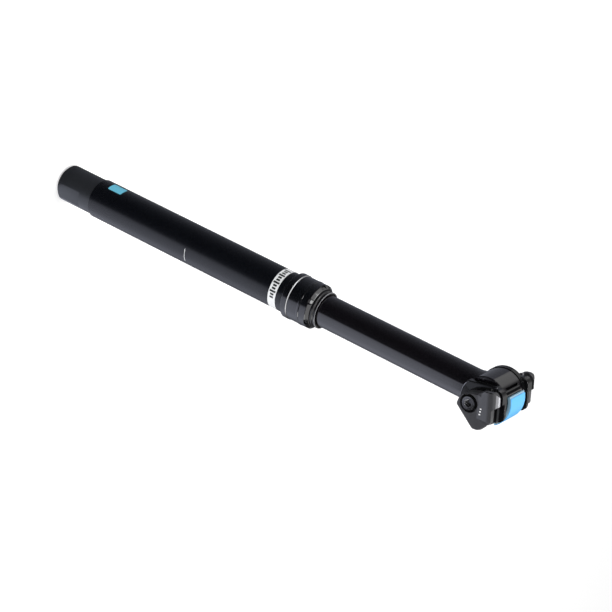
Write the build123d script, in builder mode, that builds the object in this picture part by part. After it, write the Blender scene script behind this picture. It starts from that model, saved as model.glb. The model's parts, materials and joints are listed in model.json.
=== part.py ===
from build123d import *
import os
from math import cos, pi, radians, sin, sqrt, tan

os.makedirs("parts", exist_ok=True)

# Dropper seatpost, in millimetres. +Z runs up the post, the saddle's nose points to -X, the left
# side of the bicycle is -Y, and the origin is on the post's axis at the outer tube's lower end.
# The post stands at full height, with the clamp level for a saddle on a sloping seat tube.

# Clearances, and the length by which a cut runs past the face it opens
running_gap = 0.05
part_gap = 0.3
overrun = 2.0

# The post as a whole
travel = 120.0
overlap = 70.0
foot_room = 3.0
neck_room = 11.3

# Stanchion, and the outer tube round it with its key grooves
stanchion_radius = 12.5
stanchion_wall = 2.0
bushing_gap = 1.3
tube_wall = 2.0
thread_depth = 0.4
tube_bore = stanchion_radius + bushing_gap
tube_radius = tube_bore + tube_wall
thread_radius = tube_radius - thread_depth
key_count = 3
key_width = 2.4
key_length = 10.0
key_height = 2.85
key_pocket_depth = 1.0
key_inset = 3.0

# Actuator housing, its spigot, flats and end plug
housing_step = 1.0
housing_wall = 2.8
housing_radius = tube_radius - housing_step
cavity_radius = housing_radius - housing_wall
housing_length = 35.5
spigot_length = 20.0
floor_z = 10.0
flat_depth = 1.6
flat_offset = housing_radius - flat_depth
flat_length = 24.0
flat_turn = 14.0
housing_chamfer = 1.8
o_ring_wire = 0.6
o_ring_inset = 7.0
plug_inset = 0.8
plug_thickness = 4.0
spanner_hole_radius = 1.2
spanner_hole_spread = 6.5
cable_housing_radius = 2.55
cable_housing_depth = 7.0
cable_radius = 0.9
stop_wall = 0.65
stop_end = 2.0
stop_radius = cable_housing_radius + stop_wall
stop_length = cable_housing_depth + stop_end

# Release lever, its pin and the cable anchor
pivot_offset = 3.5
lever_arm = 4.0
cable_offset = pivot_offset + lever_arm
pivot_radius = 1.25
pivot_wall = 1.0
hub_radius = 2.7
nose_radius = 1.2
lever_thickness = 6.0
lever_fork_gap = 2.6
anchor_radius = 2.0
anchor_wall = 1.2
anchor_boss_radius = anchor_radius + anchor_wall
anchor_inset = 0.2
anchor_screw_radius = 1.2
spacer_radius = 2.2

# Cartridge: rod, piston, gland, floating piston and release pin
rod_radius = 4.0
rod_bore_radius = 2.1
rod_shoulder_radius = 6.0
rod_shoulder_height = 2.0
rod_nut_height = 5.0
rod_nut_radius = 7.0
rod_tail = 1.0
cartridge_gap = 1.0
cartridge_wall = 1.5
cartridge_radius = stanchion_radius - stanchion_wall - cartridge_gap
cartridge_inset = 3.0
snap_ring_height = 1.0
snap_ring_depth = 0.6
snap_ring_width = 2.0
snap_ring_arc = 320
gland_length = 11.0
seal_height = 4.0
seal_width = 1.8
bumper_height = 3.7
piston_length = 10.0
piston_ring_height = 3.0
piston_ring_depth = 1.5
floating_piston_length = 10.0
oil_reserve = 4.0
pin_radius = 1.5
pin_tip = 1.0
pin_collar_radius = 3.2
pin_collar_height = 1.2
valve_head_radius = 3.2
valve_head_height = 2.0
spring_wire = 0.5
spring_radius = 2.3
spring_turns = 5
cap_plug_length = 9.0
cap_flange_height = 2.7
stud_radius = 5.0
stud_length = 8.0

# Bushings, foam ring, wiper and seal collar
bushing_seat_depth = 0.8
upper_bushing_length = 19.0
foam_ring_length = 4.0
bushing_seat_length = upper_bushing_length + part_gap + foam_ring_length + running_gap
lower_bushing_length = 14.0
lower_bushing_depth = 0.5
lower_bushing_inset = 16.0
wiper_flange_inset = 0.2
wiper_flange_radius = thread_radius - wiper_flange_inset
wiper_flange_height = 3.2
wiper_wall = 2.1
wiper_neck_radius = stanchion_radius + wiper_wall
wiper_height = 11.7
wiper_lip_height = 2.0
wiper_relief = 0.5
collar_skirt = 19.8
collar_rise = 6.9
collar_wall = 1.8
collar_radius = tube_radius + collar_wall
collar_band_step = 0.5
collar_band_radius = collar_radius + collar_band_step
collar_band_height = 4.6
collar_groove_depth = 0.5
collar_groove_width = 0.8
collar_bead_height = 2.2
collar_bead_step = 0.25
collar_bead_radius = collar_radius + collar_bead_step
collar_bead_drop = 8.0
collar_chamfer = 2.2
collar_notch_count = 6
collar_notch_width = 5.0
collar_notch_height = 3.0
collar_notch_depth = 1.2

# Neck and head barrel
neck_fillet = 20.0
barrel_radius = 17.0
barrel_half_width = 12.3
barrel_chamfer = 0.6
head_solid = 24.7
socket_wall = 4.0
socket_radius = barrel_radius - socket_wall
socket_depth = 3.2
bolt_drop = 5.0
bolt_radius = 3.95
bolt_way = 0.35
tilt_swing = 18.0
tilt_spare = 1.5
slot_stations = 5
window_angle = 46.5
window_length = 16.0
window_width = 1.9
window_depth = 2.4

# Head cap with its badge, as angles from +Z towards the saddle's nose
cap_front_angle = 28.0
cap_rear_angle = 56.0
cap_height = 2.2
cap_half_width = 10.0
badge_height = 0.6
badge_inset = 0.2
badge_end_inset = 4.0
cap_key_size = 11.0
cap_key_depth = 4.0

# Saddle clamp. Lean turns the clamp's own up direction towards the nose
lean = 12.0
rail_radius = 3.5
rail_spacing = 44.0
rail_height = 12.0
rail_gap = 3.0
rail_relief = 0.6
rib_wall = 3.3
rib_half_length = 12.5
rib_rear_length = 10.0
rib_corner = 5.5
rib_foot = 2.0
rib_shoulder = 7.6
rib_chamfer = 0.5
rib_notch_start = -2.4
rib_notch_slope = 2.8
rib_notch_top = 14.7
rib_notch_fall = 0.7
rib_notch_corner = 1.0
cradle_step = 0.5
cradle_radius = barrel_radius + cradle_step
cradle_thickness = 4.7
cradle_flat = 13.0
cradle_chamfer = 0.5
plate_stand = 4.0
plate_face = rail_spacing / 2 + plate_stand
plate_reach = 18.5
plate_corner = 2.0
plate_edge = 0.8
plate_step_gap = 0.5
washer_radius = 6.7
washer_height = 1.2
washer_seat_depth = 5.0
bolt_head_radius = 5.9
bolt_head_height = 4.6
bolt_head_chamfer = 0.5
hex_key_size = 5.0
hex_key_depth = 2.6
nut_size = 13.0
nut_height = 6.0
nut_seat_depth = 5.0

# Outline of the outer clamp's plate from its front corner round the heel, as shares of its reach,
# fore and aft first and up second
plate_outline_shares = [
    (-0.62, 0.36),
    (-0.43, 0.08),
    (-0.42, -0.26),
    (-0.35, -0.52),
    (-0.20, -0.70),
    (0.14, -0.82),
    (0.98, -0.09),
    (1.00, 0.13),
    (0.94, 0.30),
    (0.64, 0.68),
    (-0.62, 0.68),
]

# Heights worked out from the sizes above
tube_length = spigot_length + foot_room + travel + overlap
collar_bottom = tube_length - collar_skirt
collar_top = tube_length + collar_rise
wiper_top = tube_length + wiper_height
neck_rise = sqrt((barrel_radius + neck_fillet) ** 2 - (stanchion_radius + neck_fillet) ** 2)
barrel_z = wiper_top + travel + neck_room + neck_rise
neck_start = barrel_z - neck_rise
bore_top = barrel_z - head_solid
foot_z = spigot_length + foot_room + travel
cartridge_foot = foot_z + cartridge_inset
cartridge_bore = cartridge_radius - cartridge_wall
cartridge_top = bore_top - cap_flange_height
gland_foot = cartridge_foot + 2 * snap_ring_height
gland_top = gland_foot + gland_length
piston_foot = gland_top + bumper_height + part_gap
piston_top = piston_foot + piston_length
oil_share = (rod_radius / cartridge_bore) ** 2
floating_foot = piston_top + travel * (1 - oil_share) + oil_reserve
rod_foot = floor_z - rod_nut_height - rod_tail
spring_seat_z = rod_foot - part_gap - (2 * spring_turns - 1) * spring_wire
pin_foot = spring_seat_z - pin_collar_height - pin_tip
pivot_z = pin_foot - part_gap - hub_radius
lean_cos = cos(radians(lean))
lean_sin = sin(radians(lean))
nose_dir = Vector(lean_cos, 0, lean_sin)

LEFT = -1
RIGHT = 1


# Plane of the clamp at a distance out from the middle, with its local y up the leaning clamp
def clamp_plane(side, out):
    return Plane(
        origin=(0, side * out, barrel_z),
        x_dir=(-side * lean_cos, 0, -side * lean_sin),
        z_dir=(0, side, 0),
    )


# Plane across one saddle rail, centred on it, at the front end of the clamp
def rail_plane(side, half_length):
    centre = Vector(-rail_height * lean_sin, side * rail_spacing / 2, barrel_z + rail_height * lean_cos)
    return Plane(origin=centre - nose_dir * half_length, x_dir=(0, 1, 0), z_dir=nose_dir)


# A plain ring round the post's axis between two heights
def ring(outer, inner, low, high):
    with BuildPart() as piece:
        with BuildSketch(Plane.XY.offset(low)):
            Circle(outer)
            Circle(inner, mode=Mode.SUBTRACT)
        extrude(amount=high - low)
    return piece.part


# A rubber ring of round section
def rubber_ring(centre_radius, wire_radius, height):
    with BuildPart() as piece:
        with BuildSketch(Plane.XZ) as section:
            with Locations((centre_radius, height)):
                Circle(wire_radius)
        revolve(section.sketch, axis=Axis.Z)
    return piece.part


# Outer tube: bored, counterbored for the bushing, turned down for the collar's thread, with
# broached key grooves
bushing_seat_radius = tube_bore + bushing_seat_depth
groove_radius = stanchion_radius - key_pocket_depth + key_height + 2 * running_gap
with BuildPart() as outer_tube:
    with BuildSketch():
        Circle(tube_radius)
        Circle(tube_bore, mode=Mode.SUBTRACT)
    extrude(amount=tube_length)
    with BuildSketch(Plane.XY.offset(tube_length - bushing_seat_length)):
        Circle(bushing_seat_radius)
    extrude(amount=bushing_seat_length + overrun, mode=Mode.SUBTRACT)
    with BuildSketch(Plane.XY.offset(collar_bottom)):
        Circle(2 * tube_radius)
        Circle(thread_radius, mode=Mode.SUBTRACT)
    extrude(amount=tube_length, mode=Mode.SUBTRACT)
    with BuildSketch(Plane.XY.offset(-overrun)):
        with PolarLocations(0, key_count):
            with Locations((groove_radius / 2, 0)):
                Rectangle(groove_radius, key_width + 2 * running_gap)
    extrude(amount=tube_length - bushing_seat_length + 2 * overrun, mode=Mode.SUBTRACT)
outer_tube.part.label = "outer_tube"
export_step(outer_tube.part, "parts/outer_tube.step")

# Seal collar, turned from bar, with a gripping band, a bead and spanner notches
band_top = collar_bottom + collar_chamfer + collar_band_height
bead_top = collar_top - collar_bead_drop
bead_foot = bead_top - collar_bead_height
collar_bore = thread_radius + running_gap
lip_radius = wiper_neck_radius + part_gap
lip_foot = tube_length + wiper_flange_height + running_gap
with BuildPart() as seal_collar:
    with BuildSketch(Plane.XZ):
        with BuildLine():
            Polyline(
                (collar_bore, collar_bottom),
                (collar_band_radius - collar_chamfer, collar_bottom),
                (collar_band_radius, collar_bottom + collar_chamfer),
                (collar_band_radius, band_top),
                (collar_radius - collar_groove_depth, band_top),
                (collar_radius - collar_groove_depth, band_top + collar_groove_width),
                (collar_radius, band_top + collar_groove_width),
                (collar_radius, bead_foot),
                (collar_bead_radius, bead_foot + collar_groove_width / 2),
                (collar_bead_radius, bead_top - collar_groove_width / 2),
                (collar_radius, bead_top),
                (collar_radius, collar_top - collar_chamfer),
                (collar_radius - collar_chamfer, collar_top),
                (lip_radius, collar_top),
                (lip_radius, lip_foot),
                (collar_bore, lip_foot),
                close=True,
            )
        make_face()
    revolve(axis=Axis.Z)
    with BuildSketch(Plane.XY.offset(collar_top - collar_notch_height)):
        with PolarLocations(collar_radius - collar_notch_depth, collar_notch_count):
            with Locations((collar_radius / 2, 0)):
                Rectangle(collar_radius, collar_notch_width)
    extrude(amount=collar_notch_height + overrun, mode=Mode.SUBTRACT)
seal_collar.part.label = "seal_collar"
export_step(seal_collar.part, "parts/seal_collar.step")

# Wiper seal: a flange under the collar's lip and a tapered lip on the stanchion
wiper_bore = stanchion_radius + running_gap
with BuildPart() as wiper_seal:
    with BuildSketch(Plane.XZ):
        with BuildLine():
            Polyline(
                (wiper_bore + wiper_relief, tube_length),
                (wiper_flange_radius, tube_length),
                (wiper_flange_radius, tube_length + wiper_flange_height),
                (wiper_neck_radius, tube_length + wiper_flange_height),
                (wiper_neck_radius, wiper_top - wiper_lip_height),
                (wiper_bore + wiper_relief, wiper_top),
                (wiper_bore, wiper_top),
                (wiper_bore, wiper_top - wiper_lip_height),
                (wiper_bore + wiper_relief, wiper_top - 2 * wiper_lip_height),
                close=True,
            )
        make_face()
    revolve(axis=Axis.Z)
wiper_seal.part.label = "wiper_seal"
export_step(wiper_seal.part, "parts/wiper_seal.step")

# Foam ring and upper bushing, one above the other in the tube's counterbore
seat_outer = bushing_seat_radius - running_gap
seat_foot = tube_length - bushing_seat_length
foam_ring = ring(seat_outer, wiper_bore, tube_length - running_gap - foam_ring_length, tube_length - running_gap)
foam_ring.label = "foam_ring"
export_step(foam_ring, "parts/foam_ring.step")

upper_bushing = ring(seat_outer, wiper_bore, seat_foot, seat_foot + upper_bushing_length)
upper_bushing.label = "upper_bushing"
export_step(upper_bushing, "parts/upper_bushing.step")

# Actuator housing: a cup with a spigot in the tube, a floor for the rod and two wrench flats
spigot_radius = tube_bore - running_gap
o_ring_z = spigot_length - o_ring_inset
with BuildPart() as actuator_housing:
    with BuildSketch(Plane.XY.offset(-housing_length)):
        Circle(housing_radius)
    extrude(amount=housing_length)
    chamfer(actuator_housing.edges().group_by(Axis.Z)[0], length=housing_chamfer)
    with BuildSketch():
        Circle(spigot_radius)
    extrude(amount=spigot_length)
    with BuildSketch(Plane.XY.offset(-housing_length - overrun)):
        Circle(cavity_radius)
    extrude(amount=housing_length + overrun + floor_z, mode=Mode.SUBTRACT)
    with BuildSketch():
        Circle(rod_radius + running_gap)
    extrude(amount=spigot_length + overrun, mode=Mode.SUBTRACT)
    with BuildSketch(Plane.XY.rotated((0, 0, flat_turn)).offset(-housing_length - overrun)):
        with Locations((0, flat_offset + housing_radius / 2), (0, -flat_offset - housing_radius / 2)):
            Rectangle(2 * housing_radius, housing_radius)
    extrude(amount=flat_length + overrun, mode=Mode.SUBTRACT)
    with BuildSketch(Plane.XY.offset(o_ring_z - o_ring_wire - running_gap)):
        Circle(tube_radius)
        Circle(spigot_radius - 2 * o_ring_wire, mode=Mode.SUBTRACT)
    extrude(amount=2 * (o_ring_wire + running_gap), mode=Mode.SUBTRACT)
    with BuildSketch(Plane.XZ.offset(-housing_radius - overrun)):
        with Locations((-pivot_offset, pivot_z)):
            Circle(pivot_radius)
    extrude(amount=housing_radius + overrun + cavity_radius + pivot_wall, mode=Mode.SUBTRACT)
actuator_housing.part.label = "actuator_housing"
export_step(actuator_housing.part, "parts/actuator_housing.step")

housing_o_ring = rubber_ring(spigot_radius - o_ring_wire + running_gap / 2, o_ring_wire, o_ring_z)
housing_o_ring.label = "housing_o_ring"
export_step(housing_o_ring, "parts/housing_o_ring.step")

# End plug, screwed into the cavity's mouth, with two pin-spanner holes and the cable's way in
plug_foot = plug_inset - housing_length
with BuildPart() as end_plug:
    with BuildSketch(Plane.XY.offset(plug_foot)):
        Circle(cavity_radius - running_gap)
        with Locations((-cable_offset, 0)):
            Circle(stop_radius + running_gap, mode=Mode.SUBTRACT)
    extrude(amount=plug_thickness)
    with BuildSketch(Plane.XY.offset(plug_foot)):
        with Locations((0, spanner_hole_spread), (0, -spanner_hole_spread)):
            Circle(spanner_hole_radius)
    extrude(amount=plug_thickness / 2, mode=Mode.SUBTRACT)
end_plug.part.label = "end_plug"
export_step(end_plug.part, "parts/end_plug.step")

# Cable stop, the ferrule that takes the cable's outer housing
with BuildPart() as cable_stop:
    with BuildSketch(Plane.XY.offset(-housing_length)):
        with Locations((-cable_offset, 0)):
            Circle(stop_radius)
    extrude(amount=stop_length)
    with BuildSketch(Plane.XY.offset(-housing_length)):
        with Locations((-cable_offset, 0)):
            Circle(cable_housing_radius)
    extrude(amount=cable_housing_depth, mode=Mode.SUBTRACT)
    with BuildSketch(Plane.XY.offset(-housing_length)):
        with Locations((-cable_offset, 0)):
            Circle(cable_radius)
    extrude(amount=stop_length + overrun, mode=Mode.SUBTRACT)
cable_stop.part.label = "cable_stop"
export_step(cable_stop.part, "parts/cable_stop.step")

# Lever pin, driven in from the right, and the two spacers that keep the lever in the middle
pin_room = sqrt(cavity_radius**2 - (pivot_offset + spacer_radius) ** 2) - running_gap
pin_reach = (flat_offset - (pivot_offset + pivot_radius) * sin(radians(flat_turn))) / cos(radians(flat_turn))
with BuildPart() as lever_pin:
    with BuildSketch(Plane.XZ.offset(-pin_reach)):
        with Locations((-pivot_offset, pivot_z)):
            Circle(pivot_radius - running_gap / 2)
    extrude(amount=pin_reach + cavity_radius + pivot_wall - running_gap)
lever_pin.part.label = "lever_pin"
export_step(lever_pin.part, "parts/lever_pin.step")

spacer_start = lever_thickness / 2 + running_gap
with BuildPart() as lever_spacers:
    with BuildSketch(Plane.XZ.offset(spacer_start)):
        with Locations((-pivot_offset, pivot_z)):
            Circle(spacer_radius)
            Circle(pivot_radius + running_gap / 2, mode=Mode.SUBTRACT)
    extrude(amount=pin_room - spacer_start)
    mirror(about=Plane.XZ)
lever_spacers.part.label = "lever_spacers"
export_step(lever_spacers.part, "parts/lever_spacers.step")

# Release lever: a forked rocker between the cable's pull and the release pin
with BuildPart() as release_lever:
    with BuildSketch(Plane.XZ.offset(-lever_thickness / 2)):
        with Locations((-pivot_offset, pivot_z)):
            Circle(hub_radius)
        with Locations((0, pivot_z + hub_radius - nose_radius)):
            Circle(nose_radius)
        make_hull()
    extrude(amount=lever_thickness)
    with BuildSketch(Plane.XZ.offset(-lever_thickness / 2)):
        with Locations((-pivot_offset, pivot_z)):
            Circle(hub_radius)
        with Locations((-cable_offset, pivot_z)):
            Circle(anchor_boss_radius)
        make_hull()
    extrude(amount=lever_thickness)
    with BuildSketch(Plane.XZ.offset(-lever_thickness)):
        with Locations((-pivot_offset, pivot_z)):
            Circle(pivot_radius + running_gap)
        with Locations((-cable_offset, pivot_z)):
            Circle(anchor_radius + running_gap)
    extrude(amount=2 * lever_thickness, mode=Mode.SUBTRACT)
    with BuildSketch(Plane.XY.offset(pivot_z - lever_thickness)):
        with Locations((-cable_offset - anchor_boss_radius, 0)):
            Rectangle(2 * (cable_offset + anchor_boss_radius - pivot_offset - hub_radius), lever_fork_gap)
    extrude(amount=2 * lever_thickness, mode=Mode.SUBTRACT)
release_lever.part.label = "release_lever"
export_step(release_lever.part, "parts/release_lever.step")

# Cable anchor in the lever's fork, cross-drilled for the cable, with its grub screw
anchor_half = lever_thickness / 2 - anchor_inset
with BuildPart() as cable_anchor:
    with BuildSketch(Plane.XZ.offset(-anchor_half)):
        with Locations((-cable_offset, pivot_z)):
            Circle(anchor_radius)
    extrude(amount=2 * anchor_half)
    with BuildSketch(Plane.XY.offset(pivot_z - 2 * anchor_radius)):
        with Locations((-cable_offset, 0)):
            Circle(cable_radius)
    extrude(amount=4 * anchor_radius, mode=Mode.SUBTRACT)
    with BuildSketch(Plane.XZ.offset(-anchor_half - overrun)):
        with Locations((-cable_offset, pivot_z)):
            Circle(anchor_screw_radius + running_gap)
    extrude(amount=anchor_half + overrun, mode=Mode.SUBTRACT)
cable_anchor.part.label = "cable_anchor"
export_step(cable_anchor.part, "parts/cable_anchor.step")

with BuildPart() as anchor_screw:
    with BuildSketch(Plane.XZ.offset(-anchor_half)):
        with Locations((-cable_offset, pivot_z)):
            Circle(anchor_screw_radius)
            RegularPolygon(anchor_screw_radius / 2, 6, mode=Mode.SUBTRACT)
    extrude(amount=(anchor_half - cable_radius) / 2)
    with BuildSketch(Plane.XZ.offset(-(anchor_half + cable_radius) / 2)):
        with Locations((-cable_offset, pivot_z)):
            Circle(anchor_screw_radius)
    extrude(amount=(anchor_half - cable_radius) / 2 - running_gap)
anchor_screw.part.label = "anchor_screw"
export_step(anchor_screw.part, "parts/anchor_screw.step")

# Damper rod: a tube with a shoulder on the floor and ports under the piston
port_z = (gland_top + piston_foot) / 2
with BuildPart() as damper_rod:
    with BuildSketch(Plane.XY.offset(rod_foot)):
        Circle(rod_radius)
    extrude(amount=piston_top - rod_foot)
    with BuildSketch(Plane.XY.offset(spigot_length)):
        Circle(rod_shoulder_radius)
    extrude(amount=rod_shoulder_height)
    with BuildSketch(Plane.XY.offset(rod_foot - overrun)):
        Circle(rod_bore_radius)
    extrude(amount=piston_top - rod_foot + 2 * overrun, mode=Mode.SUBTRACT)
    with BuildSketch(Plane.XZ.offset(-2 * rod_radius)):
        with Locations((0, port_z)):
            Circle(cable_radius)
    extrude(amount=4 * rod_radius, mode=Mode.SUBTRACT)
damper_rod.part.label = "damper_rod"
export_step(damper_rod.part, "parts/damper_rod.step")

with BuildPart() as rod_nut:
    with BuildSketch(Plane.XY.offset(floor_z - rod_nut_height)):
        RegularPolygon(rod_nut_radius, 6)
        Circle(rod_radius + running_gap, mode=Mode.SUBTRACT)
    extrude(amount=rod_nut_height)
rod_nut.part.label = "rod_nut"
export_step(rod_nut.part, "parts/rod_nut.step")

# Main piston on the rod's end, with its ring in a groove
piston_radius = cartridge_bore - running_gap
piston_groove_radius = piston_radius - piston_ring_depth
piston_ring_foot = piston_foot + (piston_length - piston_ring_height) / 2
with BuildPart() as main_piston:
    with BuildSketch(Plane.XY.offset(piston_foot)):
        Circle(piston_radius)
        Circle(rod_radius + running_gap, mode=Mode.SUBTRACT)
    extrude(amount=piston_length)
    with BuildSketch(Plane.XY.offset(piston_ring_foot)):
        Circle(cartridge_radius)
        Circle(piston_groove_radius, mode=Mode.SUBTRACT)
    extrude(amount=piston_ring_height, mode=Mode.SUBTRACT)
main_piston.part.label = "main_piston"
export_step(main_piston.part, "parts/main_piston.step")

piston_ring = ring(
    piston_radius,
    piston_groove_radius + running_gap,
    piston_ring_foot + running_gap,
    piston_ring_foot + piston_ring_height - running_gap,
)
piston_ring.label = "piston_ring"
export_step(piston_ring, "parts/piston_ring.step")

# Return spring between the rod's foot and the release pin's collar
spring_low = spring_seat_z + spring_wire / 2 + running_gap
spring_high = rod_foot - spring_wire / 2 - running_gap
with BuildPart() as return_spring:
    with BuildLine() as spring_coil:
        Helix(
            pitch=(spring_high - spring_low) / spring_turns,
            height=spring_high - spring_low,
            radius=spring_radius,
            center=(0, 0, spring_low),
        )
    with BuildSketch(Plane(origin=spring_coil.line @ 0, z_dir=spring_coil.line % 0)):
        Circle(spring_wire / 2)
    sweep(path=spring_coil.line, is_frenet=True)
return_spring.part.label = "return_spring"
export_step(return_spring.part, "parts/return_spring.step")

# Release pin through the rod, with a collar for the spring and the valve's head on top
with BuildPart() as release_pin:
    with BuildSketch(Plane.XY.offset(pin_foot)):
        Circle(pin_radius)
    extrude(amount=piston_top + running_gap - pin_foot)
    with BuildSketch(Plane.XY.offset(spring_seat_z - pin_collar_height)):
        Circle(pin_collar_radius)
    extrude(amount=pin_collar_height)
    with BuildSketch(Plane.XY.offset(piston_top + running_gap)):
        Circle(valve_head_radius)
    extrude(amount=valve_head_height)
release_pin.part.label = "release_pin"
export_step(release_pin.part, "parts/release_pin.step")

# Cartridge tube with a snap-ring groove at its foot
groove_outer = cartridge_bore + snap_ring_depth
with BuildPart() as cartridge_tube:
    with BuildSketch(Plane.XY.offset(cartridge_foot)):
        Circle(cartridge_radius)
        Circle(cartridge_bore, mode=Mode.SUBTRACT)
    extrude(amount=cartridge_top - cartridge_foot)
    with BuildSketch(Plane.XY.offset(cartridge_foot + snap_ring_height)):
        Circle(groove_outer)
    extrude(amount=snap_ring_height, mode=Mode.SUBTRACT)
cartridge_tube.part.label = "cartridge_tube"
export_step(cartridge_tube.part, "parts/cartridge_tube.step")

# Snap ring, an open ring in that groove
ring_outer = groove_outer - running_gap
ring_foot = cartridge_foot + snap_ring_height + running_gap
with BuildPart() as gland_ring:
    with BuildSketch(Plane.XZ) as ring_section:
        with Locations((ring_outer - snap_ring_width / 2, ring_foot + snap_ring_height / 2 - running_gap)):
            Rectangle(snap_ring_width, snap_ring_height - 2 * running_gap)
    revolve(ring_section.sketch, axis=Axis.Z, revolution_arc=snap_ring_arc)
gland_ring.part.label = "gland_ring"
export_step(gland_ring.part, "parts/gland_ring.step")

# Rod gland with the rod seal in its recess, and the top-out bumper above it
seal_foot = gland_foot + (gland_length - seal_height) / 2
seal_outer = rod_radius + running_gap + seal_width
with BuildPart() as rod_gland:
    with BuildSketch(Plane.XY.offset(gland_foot)):
        Circle(cartridge_bore - running_gap)
        Circle(rod_radius + running_gap, mode=Mode.SUBTRACT)
    extrude(amount=gland_length)
    with BuildSketch(Plane.XY.offset(seal_foot)):
        Circle(seal_outer + running_gap)
    extrude(amount=seal_height, mode=Mode.SUBTRACT)
rod_gland.part.label = "rod_gland"
export_step(rod_gland.part, "parts/rod_gland.step")

rod_seal = ring(seal_outer, rod_radius + running_gap, seal_foot + running_gap, seal_foot + seal_height - running_gap)
rod_seal.label = "rod_seal"
export_step(rod_seal, "parts/rod_seal.step")

top_out_bumper = ring(cartridge_bore - part_gap, rod_radius + part_gap, gland_top, gland_top + bumper_height)
top_out_bumper.label = "top_out_bumper"
export_step(top_out_bumper, "parts/top_out_bumper.step")

# Floating piston between the oil and the gas, with its ring
floating_ring_foot = floating_foot + (floating_piston_length - piston_ring_height) / 2
with BuildPart() as floating_piston:
    with BuildSketch(Plane.XY.offset(floating_foot)):
        Circle(piston_radius)
    extrude(amount=floating_piston_length)
    with BuildSketch(Plane.XY.offset(floating_ring_foot)):
        Circle(cartridge_radius)
        Circle(piston_groove_radius, mode=Mode.SUBTRACT)
    extrude(amount=piston_ring_height, mode=Mode.SUBTRACT)
    with BuildSketch(Plane.XY.offset(floating_foot + floating_piston_length / 2)):
        Circle(piston_groove_radius - piston_ring_depth)
    extrude(amount=floating_piston_length, mode=Mode.SUBTRACT)
floating_piston.part.label = "floating_piston"
export_step(floating_piston.part, "parts/floating_piston.step")

floating_ring = ring(
    piston_radius,
    piston_groove_radius + running_gap,
    floating_ring_foot + running_gap,
    floating_ring_foot + piston_ring_height - running_gap,
)
floating_ring.label = "floating_piston_ring"
export_step(floating_ring, "parts/floating_piston_ring.step")

# Cartridge cap: plug in the cartridge, flange against the neck, stud in the neck's thread
with BuildPart() as cartridge_cap:
    with BuildSketch(Plane.XY.offset(cartridge_top - cap_plug_length)):
        Circle(cartridge_bore - running_gap)
    extrude(amount=cap_plug_length)
    with BuildSketch(Plane.XY.offset(cartridge_top)):
        Circle(cartridge_radius)
    extrude(amount=cap_flange_height)
    with BuildSketch(Plane.XY.offset(bore_top)):
        Circle(stud_radius - running_gap)
    extrude(amount=stud_length - part_gap)
cartridge_cap.part.label = "cartridge_cap"
export_step(cartridge_cap.part, "parts/cartridge_cap.step")

# Stanchion: tube, trumpet neck and transverse head barrel, forged and drawn in one piece
cap_middle = (cap_rear_angle - cap_front_angle) / 2
cap_up = Vector(sin(radians(cap_middle)), 0, cos(radians(cap_middle)))
cap_key_plane = Plane(origin=(0, 0, barrel_z), x_dir=(0, 1, 0), z_dir=cap_up)
cap_key_floor = barrel_radius - cap_key_depth
key_pocket_floor = stanchion_radius - key_pocket_depth
bushing_floor = stanchion_radius - lower_bushing_depth
lower_bushing_foot = foot_z + lower_bushing_inset
window_up = Vector(-sin(radians(window_angle)), 0, cos(radians(window_angle)))
bolt_way_radius = bolt_radius + bolt_way
slot_swing = tilt_swing + tilt_spare
with BuildPart() as barrel_form:
    with BuildSketch(Plane.XZ.offset(-barrel_half_width)):
        with Locations((0, barrel_z)):
            Circle(barrel_radius)
    extrude(amount=2 * barrel_half_width)
    chamfer(barrel_form.edges().filter_by(GeomType.CIRCLE), length=barrel_chamfer)

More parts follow.
